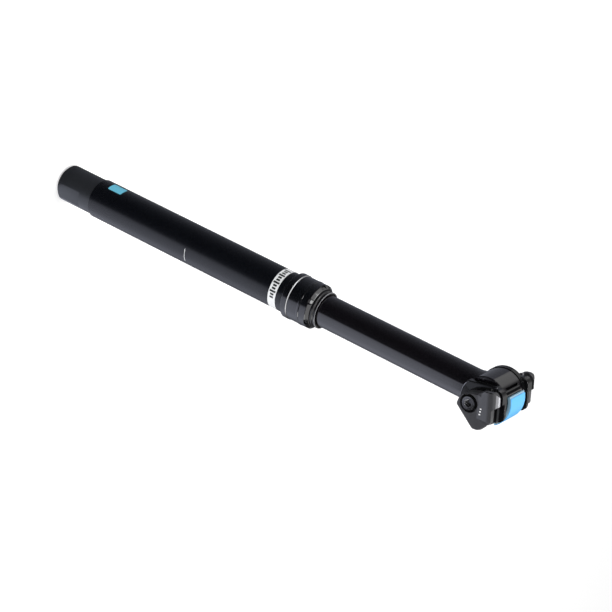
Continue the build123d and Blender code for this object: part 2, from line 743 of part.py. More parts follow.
with BuildPart() as stanchion:
    with BuildSketch(Plane.XZ):
        arc_centre = stanchion_radius + neck_fillet
        barrel_share = barrel_radius / (barrel_radius + neck_fillet)
        with BuildLine():
            Polyline((0, barrel_z), (0, foot_z), (stanchion_radius, foot_z), (stanchion_radius, neck_start))
            TangentArc(
                (stanchion_radius, neck_start),
                (arc_centre * barrel_share, barrel_z - neck_rise * barrel_share),
                tangent=(0, 1),
            )
            Line((arc_centre * barrel_share, barrel_z - neck_rise * barrel_share), (0, barrel_z))
        make_face()
    revolve(axis=Axis.Z)
    with BuildSketch(Plane.XY.offset(barrel_z - cradle_radius - part_gap)):
        with Locations((0, barrel_half_width + barrel_radius), (0, -barrel_half_width - barrel_radius)):
            Rectangle(4 * barrel_radius, 2 * barrel_radius)
    extrude(amount=2 * barrel_radius, mode=Mode.SUBTRACT)
    add(barrel_form.part)
    # Socket for each cradle's spigot
    with BuildSketch(clamp_plane(LEFT, barrel_half_width - socket_depth)):
        Circle(socket_radius)
    extrude(amount=socket_depth + overrun, mode=Mode.SUBTRACT)
    with BuildSketch(clamp_plane(RIGHT, barrel_half_width - socket_depth)):
        Circle(socket_radius)
    extrude(amount=socket_depth + overrun, mode=Mode.SUBTRACT)
    # Curved slot that lets the clamp bolt swing with the clamp
    with BuildSketch(clamp_plane(LEFT, -barrel_half_width)):
        with PolarLocations(bolt_drop, slot_stations, -90 - slot_swing, 2 * slot_swing, endpoint=True):
            Circle(bolt_way_radius)
        make_hull()
    extrude(amount=2 * barrel_half_width, mode=Mode.SUBTRACT)
    # Window in the front of the barrel and the pocket for the head cap's key
    with BuildSketch(Plane(origin=(0, 0, barrel_z), x_dir=(0, 1, 0), z_dir=window_up).offset(barrel_radius - window_depth)):
        Rectangle(window_length, window_width)
    extrude(amount=window_depth + overrun, mode=Mode.SUBTRACT)
    with BuildSketch(cap_key_plane.offset(cap_key_floor)):
        Rectangle(cap_key_size, cap_key_size)
    extrude(amount=cap_key_depth + overrun, mode=Mode.SUBTRACT)
    # Bore for the cartridge, the cap's thread and the seats for the keys and the lower bushing
    with BuildSketch(Plane.XY.offset(foot_z - overrun)):
        Circle(stanchion_radius - stanchion_wall)
    extrude(amount=bore_top - foot_z + overrun, mode=Mode.SUBTRACT)
    with BuildSketch(Plane.XY.offset(bore_top)):
        Circle(stud_radius)
    extrude(amount=stud_length, mode=Mode.SUBTRACT)
    with BuildSketch(Plane.XY.offset(foot_z + key_inset)):
        with PolarLocations(0, key_count):
            with Locations((key_pocket_floor + tube_radius / 2, 0)):
                Rectangle(tube_radius, key_width + 2 * running_gap)
    extrude(amount=key_length + 2 * running_gap, mode=Mode.SUBTRACT)
    with BuildSketch(Plane.XY.offset(lower_bushing_foot)):
        Circle(tube_radius)
        Circle(bushing_floor, mode=Mode.SUBTRACT)
    extrude(amount=lower_bushing_length, mode=Mode.SUBTRACT)
stanchion.part.label = "stanchion"
export_step(stanchion.part, "parts/stanchion.step")

# Head cap and its badge, curved pads on top of the barrel
cap_start = 90 - cap_rear_angle
cap_sweep = cap_front_angle + cap_rear_angle
badge_foot = barrel_radius + cap_height
with BuildPart() as head_cap:
    with BuildSketch(Plane.XZ.offset(-cap_half_width)):
        with BuildLine():
            inner_arc = CenterArc((0, barrel_z), barrel_radius + running_gap, cap_start, cap_sweep)
            outer_arc = CenterArc((0, barrel_z), badge_foot, cap_start, cap_sweep)
            Line(inner_arc @ 0, outer_arc @ 0)
            Line(inner_arc @ 1, outer_arc @ 1)
        make_face()
    extrude(amount=2 * cap_half_width)
    with BuildSketch(cap_key_plane.offset(cap_key_floor + part_gap)):
        Rectangle(cap_key_size - 2 * running_gap, cap_key_size - 2 * running_gap)
    extrude(amount=cap_key_depth)
head_cap.part.label = "head_cap"
export_step(head_cap.part, "parts/head_cap.step")

with BuildPart() as cap_badge:
    with BuildSketch(Plane.XZ.offset(-cap_half_width + badge_inset)):
        with BuildLine():
            badge_inner = CenterArc((0, barrel_z), badge_foot, cap_start, cap_sweep - badge_end_inset)
            badge_outer = CenterArc((0, barrel_z), badge_foot + badge_height, cap_start, cap_sweep - badge_end_inset)
            Line(badge_inner @ 0, badge_outer @ 0)
            Line(badge_inner @ 1, badge_outer @ 1)
        make_face()
    extrude(amount=2 * (cap_half_width - badge_inset))
cap_badge.part.label = "cap_badge"
export_step(cap_badge.part, "parts/cap_badge.step")

# Guide keys in the stanchion's pockets
with BuildPart() as guide_keys:
    with BuildSketch(Plane.XY.offset(foot_z + key_inset + running_gap)):
        with PolarLocations(0, key_count):
            with Locations((key_pocket_floor + running_gap + key_height / 2, 0)):
                Rectangle(key_height, key_width)
    extrude(amount=key_length)
guide_keys.part.label = "guide_keys"
export_step(guide_keys.part, "parts/guide_keys.step")

lower_bushing = ring(
    tube_bore - running_gap,
    bushing_floor + running_gap,
    lower_bushing_foot + running_gap,
    lower_bushing_foot + lower_bushing_length - running_gap,
)
lower_bushing.label = "lower_bushing"
export_step(lower_bushing, "parts/lower_bushing.step")


# Inner clamp cradle: a disc on the barrel's end with half of the rail's channel on it
cradle_inner = barrel_half_width + running_gap
cradle_outer = cradle_inner + cradle_thickness
rib_radius = rail_radius + rib_wall
rail_out = rail_spacing / 2


# Outline of the notch that lowers the rear half of the rail's channel, along the clamp and up it
notch_outline = [
    (rib_notch_start, rail_height + 2 * rib_radius),
    (rib_notch_start, rail_height + rib_radius),
    (rib_notch_start + rib_notch_slope, rib_notch_top),
    (2 * rib_half_length, rib_notch_top - rib_notch_fall),
    (2 * rib_half_length, rail_height + 2 * rib_radius),
]


def make_cradle(side):
    with BuildPart() as cradle:
        with BuildSketch(clamp_plane(side, cradle_inner)):
            Circle(cradle_radius)
            with Locations((-cradle_flat - cradle_radius, 0)):
                Rectangle(2 * cradle_radius, 4 * cradle_radius, mode=Mode.SUBTRACT)
        extrude(amount=cradle_thickness)
        chamfer(cradle.edges().group_by(Axis.Y)[0 if side == LEFT else -1], length=cradle_chamfer)
        with BuildSketch(clamp_plane(side, barrel_half_width - socket_depth + part_gap)):
            Circle(socket_radius - running_gap)
        extrude(amount=socket_depth)
        with BuildSketch(clamp_plane(side, cradle_outer - cradle_thickness / 2)):
            with Locations((0, rail_height)):
                RectangleRounded(2 * rib_half_length, 2 * rib_radius, rib_corner)
        extrude(amount=rail_out - rail_gap / 2 - cradle_outer + cradle_thickness / 2)
        with BuildSketch(clamp_plane(side, cradle_outer)) as cradle_notch:
            with BuildLine():
                Polyline([(-side * along, up) for along, up in notch_outline], close=True)
            make_face()
            fillet(cradle_notch.vertices(), rib_notch_corner)
        extrude(amount=rail_out, mode=Mode.SUBTRACT)
        with BuildSketch(rail_plane(side, 2 * rib_half_length)):
            Circle(rail_radius)
        extrude(amount=4 * rib_half_length, mode=Mode.SUBTRACT)
        with BuildSketch(clamp_plane(side, 0)):
            with Locations((0, -bolt_drop)):
                Circle(bolt_way_radius)
        extrude(amount=2 * cradle_outer, mode=Mode.SUBTRACT)
    return cradle.part


left_cradle = make_cradle(LEFT)
left_cradle.label = "left_cradle"
export_step(left_cradle, "parts/left_cradle.step")

right_cradle = make_cradle(RIGHT)
right_cradle.label = "right_cradle"
export_step(right_cradle, "parts/right_cradle.step")

# Rib of the outer clamp: half a tube round the rail, blended down to the plate
heel_face = cradle_outer + part_gap
lip_face = rail_out + rail_gap / 2
step_height = rail_height - rib_radius - plate_step_gap
with BuildPart() as rib_form:
    with BuildSketch(rail_plane(LEFT, rib_half_length)):
        Circle(rib_radius)
        with Locations((rail_out - plate_face + plate_edge, rib_foot - rail_height)):
            Circle(plate_edge)
        make_hull()
    extrude(amount=rib_half_length + rib_rear_length)
    chamfer(rib_form.faces().filter_by(Axis((0, 0, 0), nose_dir)).edges(), length=rib_chamfer)
    with BuildSketch(clamp_plane(LEFT, 0)):
        with Locations((0, rail_height)):
            RectangleRounded(2 * rib_half_length, 2 * rib_radius, rib_corner)
        with Locations(((rib_half_length - rib_shoulder) / 2, rail_height - rib_corner)):
            Rectangle(rib_half_length + rib_shoulder, 2 * rib_radius)
    extrude(amount=2 * plate_face, mode=Mode.INTERSECT)
    with BuildSketch(clamp_plane(LEFT, 0)) as rib_notch:
        with BuildLine():
            Polyline(notch_outline, close=True)
        make_face()
        fillet(rib_notch.vertices(), rib_notch_corner)
    extrude(amount=2 * plate_face, mode=Mode.SUBTRACT)

# Outer clamp before its bolt seat: plate with heel, rib, step, channel and bolt hole
with BuildPart() as clamp_blank:
    with BuildSketch(clamp_plane(LEFT, heel_face)) as plate_outline:
        with BuildLine():
            Polyline([(plate_reach * across, plate_reach * up) for across, up in plate_outline_shares], close=True)
        make_face()
        fillet(plate_outline.vertices(), plate_corner)
    extrude(amount=plate_face - heel_face)
    fillet(clamp_blank.faces().sort_by(Axis.Y)[0].edges(), plate_edge)
    add(rib_form.part)
    with BuildSketch(clamp_plane(LEFT, 0)):
        with Locations((0, step_height + 2 * rib_radius)):
            Rectangle(4 * plate_reach, 4 * rib_radius)
    extrude(amount=lip_face, mode=Mode.SUBTRACT)
    with BuildSketch(rail_plane(LEFT, 2 * rib_half_length)):
        Circle(rail_radius)
    extrude(amount=4 * rib_half_length, mode=Mode.SUBTRACT)
    with BuildSketch(rail_plane(LEFT, -rib_half_length)):
        Circle(rail_radius + rail_relief)
    extrude(amount=plate_reach, mode=Mode.SUBTRACT)
    with BuildSketch(clamp_plane(LEFT, 0)):
        with Locations((0, -bolt_drop)):
            Circle(bolt_way_radius)
    extrude(amount=2 * plate_face, mode=Mode.SUBTRACT)

with BuildPart() as left_outer_clamp:
    add(clamp_blank.part)
    with BuildSketch(clamp_plane(LEFT, plate_face - washer_seat_depth)):
        with Locations((0, -bolt_drop)):
            Circle(washer_radius + part_gap)
    extrude(amount=washer_seat_depth + overrun, mode=Mode.SUBTRACT)
left_outer_clamp.part.label = "left_outer_clamp"
export_step(left_outer_clamp.part, "parts/left_outer_clamp.step")

with BuildPart() as right_outer_clamp:
    mirror(clamp_blank.part, about=Plane.XZ)
    with BuildSketch(clamp_plane(RIGHT, plate_face - nut_seat_depth)):
        with Locations((0, -bolt_drop)):
            RegularPolygon(nut_size / 2 + running_gap, 6, major_radius=False)
    extrude(amount=nut_seat_depth + overrun, mode=Mode.SUBTRACT)
right_outer_clamp.part.label = "right_outer_clamp"
export_step(right_outer_clamp.part, "parts/right_outer_clamp.step")

# Bolt washer, clamp bolt with a hex socket, and its nut in the right clamp
washer_foot = plate_face - washer_seat_depth
head_foot = washer_foot + washer_height
nut_foot = plate_face - nut_seat_depth
with BuildPart() as bolt_washer:
    with BuildSketch(clamp_plane(LEFT, washer_foot)):
        with Locations((0, -bolt_drop)):
            Circle(washer_radius)
            Circle(bolt_way_radius, mode=Mode.SUBTRACT)
    extrude(amount=washer_height)
bolt_washer.part.label = "bolt_washer"
export_step(bolt_washer.part, "parts/bolt_washer.step")

with BuildPart() as clamp_bolt:
    with BuildSketch(clamp_plane(LEFT, head_foot)):
        with Locations((0, -bolt_drop)):
            Circle(bolt_head_radius)
    extrude(amount=bolt_head_height)
    chamfer(clamp_bolt.edges().group_by(Axis.Y)[0], length=bolt_head_chamfer)
    with BuildSketch(clamp_plane(LEFT, head_foot + bolt_head_height - hex_key_depth)):
        with Locations((0, -bolt_drop)):
            RegularPolygon(hex_key_size / 2, 6, major_radius=False)
    extrude(amount=hex_key_depth + overrun, mode=Mode.SUBTRACT)
    with BuildSketch(clamp_plane(LEFT, -nut_foot - nut_height)):
        with Locations((0, -bolt_drop)):
            Circle(bolt_radius)
    extrude(amount=nut_foot + nut_height + head_foot)
clamp_bolt.part.label = "clamp_bolt"
export_step(clamp_bolt.part, "parts/clamp_bolt.step")

with BuildPart() as clamp_nut:
    with BuildSketch(clamp_plane(RIGHT, nut_foot)):
        with Locations((0, -bolt_drop)):
            RegularPolygon(nut_size / 2, 6, major_radius=False)
            Circle(bolt_radius + running_gap, mode=Mode.SUBTRACT)
    extrude(amount=nut_height)
clamp_nut.part.label = "clamp_nut"
export_step(clamp_nut.part, "parts/clamp_nut.step")

print(f"tube {tube_length:.1f}, barrel axis at {barrel_z:.1f}, foot {foot_z:.1f}, floating piston at {floating_foot:.1f}")
print(f"rod foot {rod_foot:.2f}, spring seat {spring_seat_z:.2f}, pin foot {pin_foot:.2f}, pivot {pivot_z:.2f}")
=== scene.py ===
# %% [markdown]
# # A dropper seatpost, dressed in Blender
# The post is a telescopic bicycle seatpost: a black outer tube, a thinner polished stanchion that
# slides in it, and a clamp for the saddle's rails on top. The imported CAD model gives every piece
# its shape and place. This script gives the pieces their edges, finishes, printed marks and light.
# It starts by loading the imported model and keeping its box, because nothing may leave that box.

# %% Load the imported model
import json
from math import asin, atan2, cos, degrees, pi, radians, sin, sqrt

import bmesh
import bpy
from mathutils import Matrix, Vector


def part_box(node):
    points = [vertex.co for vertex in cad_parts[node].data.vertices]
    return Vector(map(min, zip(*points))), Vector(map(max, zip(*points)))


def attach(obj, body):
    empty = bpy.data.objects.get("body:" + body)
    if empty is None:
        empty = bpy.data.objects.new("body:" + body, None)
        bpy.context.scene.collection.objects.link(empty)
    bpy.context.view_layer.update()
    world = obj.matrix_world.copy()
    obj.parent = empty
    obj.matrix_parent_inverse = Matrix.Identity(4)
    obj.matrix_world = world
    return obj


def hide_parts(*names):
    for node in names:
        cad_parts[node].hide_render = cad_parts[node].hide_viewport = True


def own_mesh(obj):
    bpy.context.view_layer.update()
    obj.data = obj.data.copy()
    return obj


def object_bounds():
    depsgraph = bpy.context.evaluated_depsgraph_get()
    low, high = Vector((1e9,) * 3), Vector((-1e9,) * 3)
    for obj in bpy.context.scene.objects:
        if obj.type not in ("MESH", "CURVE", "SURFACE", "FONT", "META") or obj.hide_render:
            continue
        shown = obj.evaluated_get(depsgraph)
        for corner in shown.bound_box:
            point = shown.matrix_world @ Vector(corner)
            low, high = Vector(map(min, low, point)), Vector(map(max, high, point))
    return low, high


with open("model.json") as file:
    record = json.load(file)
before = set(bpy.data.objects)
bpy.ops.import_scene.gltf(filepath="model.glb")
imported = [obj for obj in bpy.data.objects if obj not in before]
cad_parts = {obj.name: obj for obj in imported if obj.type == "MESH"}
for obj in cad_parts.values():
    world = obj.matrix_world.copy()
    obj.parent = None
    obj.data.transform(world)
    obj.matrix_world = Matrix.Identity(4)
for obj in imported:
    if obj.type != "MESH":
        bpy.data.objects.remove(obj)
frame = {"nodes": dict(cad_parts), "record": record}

cad_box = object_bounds()
nodes = frame["nodes"]
MM = 0.001
print("CAD box in mm:", [round(v / MM, 2) for corner in cad_box for v in corner])

# %% [markdown]
# ## The camera
# The photograph was taken from in front of the post, on its left side and a little above, with a
# long lens and the camera turned so that the post runs across the picture. A camera is a place and
# three directions: right, up and backwards. Written as the columns of a matrix, they give the
# turn with no guessing of angles.

# %% Place the camera
LENS_MM = 115.99
SENSOR_MM = 36.0
NEAREST, FARTHEST = 0.05, 50.0
CAMERA_PLACE = Vector((-599.55, -1149.31, 897.09)) * MM
LOOKS_ALONG = Vector((0.41043, 0.78176, -0.46947))
PICTURE_UP = Vector((-0.88911, 0.22872, -0.39644))


def make_camera():
    data = bpy.data.cameras.new("photo_camera")
    data.lens = LENS_MM
    data.sensor_width = SENSOR_MM
    data.clip_start, data.clip_end = NEAREST, FARTHEST
    camera = bpy.data.objects.new("photo_camera", data)
    bpy.context.scene.collection.objects.link(camera)
    back = -LOOKS_ALONG.normalized()
    right = PICTURE_UP.cross(back).normalized()
    up = back.cross(right)
    turn = Matrix((right, up, back)).transposed()
    camera.matrix_world = Matrix.Translation(CAMERA_PLACE) @ turn.to_4x4()
    bpy.context.scene.camera = camera
    return camera


camera = make_camera()
bpy.context.scene.view_settings.view_transform = "Standard"
print("camera at", [round(v, 3) for v in camera.location])

# %% [markdown]
# ## The studio
# Black anodised metal shows almost nothing of its own colour. What the eye sees is the room in it,
# so the room decides the look. Nodes build the room's light, and four small helpers keep the code
# short: one adds a node, one fills its sockets, one links nodes, and one turns a bmesh into an
# object.

# %% Helpers for node trees
def add_node(tree, kind, **settings):
    node = tree.nodes.new(kind)
    for name, value in settings.items():
        setattr(node, name, value)
    return node


def fill(node, **values):
    for name, value in values.items():
        node.inputs[name.replace("_", " ")].default_value = value
    return node


def join(tree, *links):
    """Each link is a node and one of its outputs, then a node and one of its inputs."""
    for source, out_socket, target, in_socket in links:
        tree.links.new(source.outputs[out_socket], target.inputs[in_socket])


def mesh_object(name, made, smooth=True):
    mesh = bpy.data.meshes.new(name)
    made.to_mesh(mesh)
    made.free()
    if smooth:
        mesh.shade_smooth()
    thing = bpy.data.objects.new(name, mesh)
    bpy.context.scene.collection.objects.link(thing)
    return thing


# %% [markdown]
# ## The world
# The background of the photograph is plain white. Light Path tells the kinds of ray apart, so the
# world can be white to the camera, an even soft light to matt surfaces, and a dark room with a
# bright ceiling to the gloss. A bright world without Light Path would wash the black metal out.

# %% The world: white to the camera, soft light to the surfaces, a room to the gloss
AMBIENT = 0.55
ROOM_IN_METAL = 0.10
SKY_IN_METAL = 1.6
SKY_STARTS = 0.40
SKY_WHOLE = 0.62


def make_world():
    world = bpy.data.worlds.new("studio")
    world.use_nodes = True
    tree = world.node_tree
    tree.nodes.clear()
    path = add_node(tree, "ShaderNodeLightPath")
    ambient = fill(add_node(tree, "ShaderNodeBackground"), Color=(1, 1, 1, 1), Strength=AMBIENT)
    seen = fill(add_node(tree, "ShaderNodeBackground"), Color=(1, 1, 1, 1), Strength=1.0)
    room = fill(add_node(tree, "ShaderNodeBackground"), Color=(1, 1, 1, 1))
    where = add_node(tree, "ShaderNodeTexCoord")
    apart = add_node(tree, "ShaderNodeSeparateXYZ")
    rise = add_node(tree, "ShaderNodeMapRange", interpolation_type="SMOOTHSTEP")
    fill(rise, From_Min=SKY_STARTS, From_Max=SKY_WHOLE, To_Min=ROOM_IN_METAL, To_Max=SKY_IN_METAL)
    metal = add_node(tree, "ShaderNodeMixShader")
    camera_mix = add_node(tree, "ShaderNodeMixShader")
    out = add_node(tree, "ShaderNodeOutputWorld")
    join(
        tree,
        (where, "Generated", apart, 0),
        (apart, "Z", rise, "Value"),
        (rise, 0, room, "Strength"),
        (path, "Is Glossy Ray", metal, 0),
        (ambient, 0, metal, 1),
        (room, 0, metal, 2),
        (path, "Is Camera Ray", camera_mix, 0),
        (metal, 0, camera_mix, 1),
        (seen, 0, camera_mix, 2),
        (camera_mix, 0, out, 0),
    )
    bpy.context.scene.world = world


make_world()
print("the world's light in gloss, from low to high:", ROOM_IN_METAL, SKY_IN_METAL)

# %% [markdown]
# ## The floor
# A plain pale sheet stands for the studio's table. Seen by the camera it gets a little glow of its
# own, which lifts it to the photograph's white, and it still shows the post's soft shadow.

# %% The floor, just under the post's lower end
FLOOR_SIZE = 40.0
FLOOR_GREY = 0.82
FLOOR_GAP = 0.4 * MM
FLOOR_LIFT = 0.42


def bare_material(name):
    """A material, its tree, and the output that is all the tree holds."""
    material = bpy.data.materials.new(name)
    material.use_nodes = True
    tree = material.node_tree
    tree.nodes.clear()
    return material, tree, add_node(tree, "ShaderNodeOutputMaterial")


def make_floor():
    made = bmesh.new()
    bmesh.ops.create_grid(made, x_segments=1, y_segments=1, size=FLOOR_SIZE / 2)
    bmesh.ops.translate(made, verts=made.verts, vec=(0, 0, cad_box[0].z - FLOOR_GAP))
    floor = mesh_object("floor", made, smooth=False)
    material, tree, out = bare_material("pale_floor")
    path = add_node(tree, "ShaderNodeLightPath")
    cloth = fill(add_node(tree, "ShaderNodeBsdfDiffuse"), Color=(FLOOR_GREY, FLOOR_GREY, FLOOR_GREY, 1))
    lift = fill(add_node(tree, "ShaderNodeEmission"), Color=(1, 1, 1, 1), Strength=FLOOR_LIFT)
    both = add_node(tree, "ShaderNodeAddShader")
    mix = add_node(tree, "ShaderNodeMixShader")
    join(
        tree,
        (cloth, 0, both, 0),
        (lift, 0, both, 1),
        (path, "Is Camera Ray", mix, 0),
        (cloth, 0, mix, 1),
        (both, 0, mix, 2),
        (mix, 0, out, 0),
    )
    floor.data.materials.append(material)


make_floor()
print("floor at", round((cad_box[0].z - FLOOR_GAP) / MM, 2), "mm")

# %% [markdown]
# ## The sheet that the tubes mirror
# Every point of an upright tube mirrors the floor, in a direction that turns twice as fast as the
# surface does. So one round sheet on the floor, whose brightness changes only with its direction
# from the post, paints the soft bands along the tubes. Lamps could do that too, but each would
# need its place found by trial, and a sheet says the whole pattern in one short list. It is a
# little blue, as daylight is, and only reflections see it.

# %% The sheet's brightness by direction
TOWARDS_CAMERA = Vector((-0.465, -0.886, 0.0))
BRIGHT_SIDE = Vector((0.886, -0.465, 0.0))
SHEET_LIFT = 0.2 * MM
SHEET_RADIUS = 5.0
SHEET_CORNERS = 64
SHEET_STRENGTH = 1.425
SHEET_TINT = (0.816, 0.851, 1.0)
# Degrees from the camera's side towards the bright side, and the share of white there
SHEET_SHARES = (
    (-180, 0.20),
    (-140, 0.22),
    (-115, 0.20),
    (-90, 0.13),
    (-60, 0.055),
    (-35, 0.018),
    (0, 0.020),
    (26, 0.05),
    (32, 0.70),
    (42, 0.88),
    (60, 1.00),
    (105, 0.94),
    (125, 0.62),
    (140, 0.26),
    (160, 0.18),
    (180, 0.20),
)


def only_reflected(thing):
    thing.visible_camera = False
    thing.visible_diffuse = False
    thing.visible_transmission = False
    thing.visible_shadow = False


def glowing_material(name, strength):
    material, tree, out = bare_material(name)
    glow = fill(add_node(tree, "ShaderNodeEmission"), Strength=strength)
    join(tree, (glow, 0, out, 0))
    return material, tree, glow, out


def make_mirrored_sheet():
    made = bmesh.new()
    bmesh.ops.create_circle(made, cap_ends=True, segments=SHEET_CORNERS, radius=SHEET_RADIUS)
    bmesh.ops.translate(made, verts=made.verts, vec=(0, 0, cad_box[0].z - FLOOR_GAP + SHEET_LIFT))
    sheet = mesh_object("mirrored_sheet", made, smooth=False)
    material, tree, glow, _ = glowing_material("mirrored_sheet", SHEET_STRENGTH)
    where = add_node(tree, "ShaderNodeTexCoord")
    forwards = add_node(tree, "ShaderNodeVectorMath", operation="DOT_PRODUCT")
    sideways = add_node(tree, "ShaderNodeVectorMath", operation="DOT_PRODUCT")
    forwards.inputs[1].default_value = TOWARDS_CAMERA
    sideways.inputs[1].default_value = BRIGHT_SIDE
    turn = add_node(tree, "ShaderNodeMath", operation="ARCTAN2")
    share = fill(add_node(tree, "ShaderNodeMapRange"), From_Min=-pi, From_Max=pi)
    ramp = add_node(tree, "ShaderNodeValToRGB")
    stops = ramp.color_ramp.elements
    while len(stops) < len(SHEET_SHARES):
        stops.new(0.5)
    for stop, (degrees_round, white) in zip(stops, SHEET_SHARES):
        stop.position = (degrees_round + 180) / 360
        stop.color = (*[white * part for part in SHEET_TINT], 1)
    join(
        tree,
        (where, "Object", forwards, 0),
        (where, "Object", sideways, 0),
        (sideways, "Value", turn, 0),
        (forwards, "Value", turn, 1),
        (turn, 0, share, "Value"),
        (share, 0, ramp, 0),
        (ramp, 0, glow, "Color"),
    )
    sheet.data.materials.append(material)
    only_reflected(sheet)


make_mirrored_sheet()
print("stops of the mirrored sheet:", len(SHEET_SHARES))

# %% [markdown]
# ## Cards round the head
# A product photographer sets cards round a glossy part: black ones draw dark edges and white ones
# draw highlights. Here a black arc on the floor darkens the head's sides, one pale card shines in
# the barrel's top and another in the rims. The pale ones fade out to their edges, because a hard
# edge would show as a line in the gloss.

# %% A black card on the floor
CARD_LIFT = 1.0 * MM
HEAD_SIDE_TURNS = range(38, 83, 4)
HEAD_SIDE_NEAR = 0.95
HEAD_SIDE_FAR = 2.8
HEAD_SIDE_STRENGTH = 0.02


def floor_point(around, distance):
    turn = radians(around)
    flat = TOWARDS_CAMERA * cos(turn) + BRIGHT_SIDE * sin(turn)
    return flat * distance + Vector((0, 0, cad_box[0].z + CARD_LIFT))


def flat_card(name, corners, strength):
    made = bmesh.new()
    made.faces.new([made.verts.new(corner) for corner in corners])
    card = mesh_object(name, made, smooth=False)
    card.data.materials.append(glowing_material(name, strength)[0])
    only_reflected(card)


near_edge = [floor_point(around, HEAD_SIDE_NEAR) for around in HEAD_SIDE_TURNS]
far_edge = [floor_point(around, HEAD_SIDE_FAR) for around in reversed(HEAD_SIDE_TURNS)]
flat_card("card_head_side", near_edge + far_edge, HEAD_SIDE_STRENGTH)
print("corners of the black card:", len(near_edge + far_edge))

# %% Pale cards that fade out to their edges
HEAD = (0, 0, 0.37)
CARD_DISTANCE = 1.5
CARD_STEPS = 12
CARD_FADE = 0.45


def fade(share):
    """One in the card's middle, falling smoothly to nothing at its edge."""
    inwards = min(1.0, (1 - abs(share)) / CARD_FADE)
    return inwards * inwards * (3 - 2 * inwards)


def card_facing(name, direction, width, height, strength):
    towards = Vector(direction).normalized()
    across = towards.cross(Vector((0, 0, 1))).normalized()
    over = across.cross(towards)
    turn = Matrix((across, over, towards)).transposed().to_4x4()
    made = bmesh.new()
    bmesh.ops.create_grid(made, x_segments=CARD_STEPS, y_segments=CARD_STEPS, size=1.0)
    whites = [fade(vertex.co.x) * fade(vertex.co.y) for vertex in made.verts]
    bmesh.ops.scale(made, verts=made.verts, vec=(width / 2, height / 2, 1))
    place = Matrix.Translation(Vector(HEAD) + towards * CARD_DISTANCE)
    bmesh.ops.transform(made, verts=made.verts, matrix=place @ turn)
    card = mesh_object(name, made, smooth=False)
    shares = card.data.attributes.new("white", "FLOAT", "POINT")
    shares.data.foreach_set("value", whites)
    material, tree, glow, out = glowing_material(name, strength)
    clear = add_node(tree, "ShaderNodeBsdfTransparent")
    mix = add_node(tree, "ShaderNodeMixShader")
    white = add_node(tree, "ShaderNodeAttribute", attribute_name="white")
    join(tree, (white, "Fac", mix, 0), (clear, 0, mix, 1), (glow, 0, mix, 2), (mix, 0, out, 0))
    card.data.materials.append(material)
    only_reflected(card)


card_facing("card_head_top", direction=(-0.54, 0.83, 0.02), width=1.7, height=1.15, strength=0.80)
card_facing("card_rims", direction=(0.44, 0.82, 0.38), width=1.0, height=0.9, strength=0.9)
print("pale cards at", CARD_DISTANCE, "m from the head")

# %% [markdown]
# ## Lamps
# Three large area lamps light what isn't gloss: the ink, the blue moulding and the blasted clamp.
# A lamp's size sets how soft its shadow is. They are weak, so that a colour renders about as it is
# written.

# %% Soft lamps
MIDDLE = (0, 0, 0.17)


def soft_lamp(name, place, aim, size, power):
    data = bpy.data.lights.new(name, "AREA")
    data.shape = "RECTANGLE"
    data.size, data.size_y = size
    data.energy = power
    lamp = bpy.data.objects.new(name, data)
    bpy.context.scene.collection.objects.link(lamp)
    place = Vector(place)
    lamp.location = place
    lamp.rotation_mode = "QUATERNION"
    lamp.rotation_quaternion = (Vector(aim) - place).to_track_quat("-Z", "Y")
    print(name, "has", power, "W")


soft_lamp("lamp_over", place=(-0.35, 0.25, 1.5), aim=MIDDLE, size=(0.9, 0.9), power=14)
soft_lamp("lamp_bright_side", place=(1.1, -0.9, 0.55), aim=MIDDLE, size=(0.7, 1.1), power=10)
soft_lamp("lamp_front", place=(-0.9, -1.3, 0.9), aim=HEAD, size=(0.5, 0.5), power=5)

# %% [markdown]
# ## Finishes
# Anodising is a hard, thin oxide on aluminium. Dyed black, it hides the metal, so the surface acts
# like dark ceramic with a clear reflection: a Principled shader with no metallic, and a roughness
# that says how the blank was prepared. Nothing real has one even roughness, so two shader groups
# vary it: one gives the fine grain of a blasted or satin surface, the other the rings that a lathe
# leaves. They put out only values, and the shader itself stays in each material.


# %% What both shader groups share
NOISE_LOW, NOISE_HIGH = 0.3, 0.7


def start_shader_group(name, *inputs):
    """A group with number inputs and the outputs Roughness and Height, and its place node."""
    tree = bpy.data.node_groups.new(name, "ShaderNodeTree")
    new = tree.interface.new_socket
    for label, default in inputs:
        new(name=label, in_out="INPUT", socket_type="NodeSocketFloat").default_value = default
    for label in ("Roughness", "Height"):
        new(name=label, in_out="OUTPUT", socket_type="NodeSocketFloat")
    kinds = ("NodeGroupInput", "NodeGroupOutput", "ShaderNodeTexCoord")
    return tree, *[add_node(tree, kind) for kind in kinds]


def end_shader_group(tree, inp, out, mask, height):
    """The mask moves the roughness from Smooth to Rough. It and the height are a node's outputs."""
    spread = fill(add_node(tree, "ShaderNodeMapRange"), From_Min=NOISE_LOW, From_Max=NOISE_HIGH)
    join(
        tree,
        (*mask, spread, "Value"),
        (inp, "Smooth", spread, "To Min"),
        (inp, "Rough", spread, "To Max"),
        (spread, 0, out, "Roughness"),
        (*height, out, "Height"),
    )


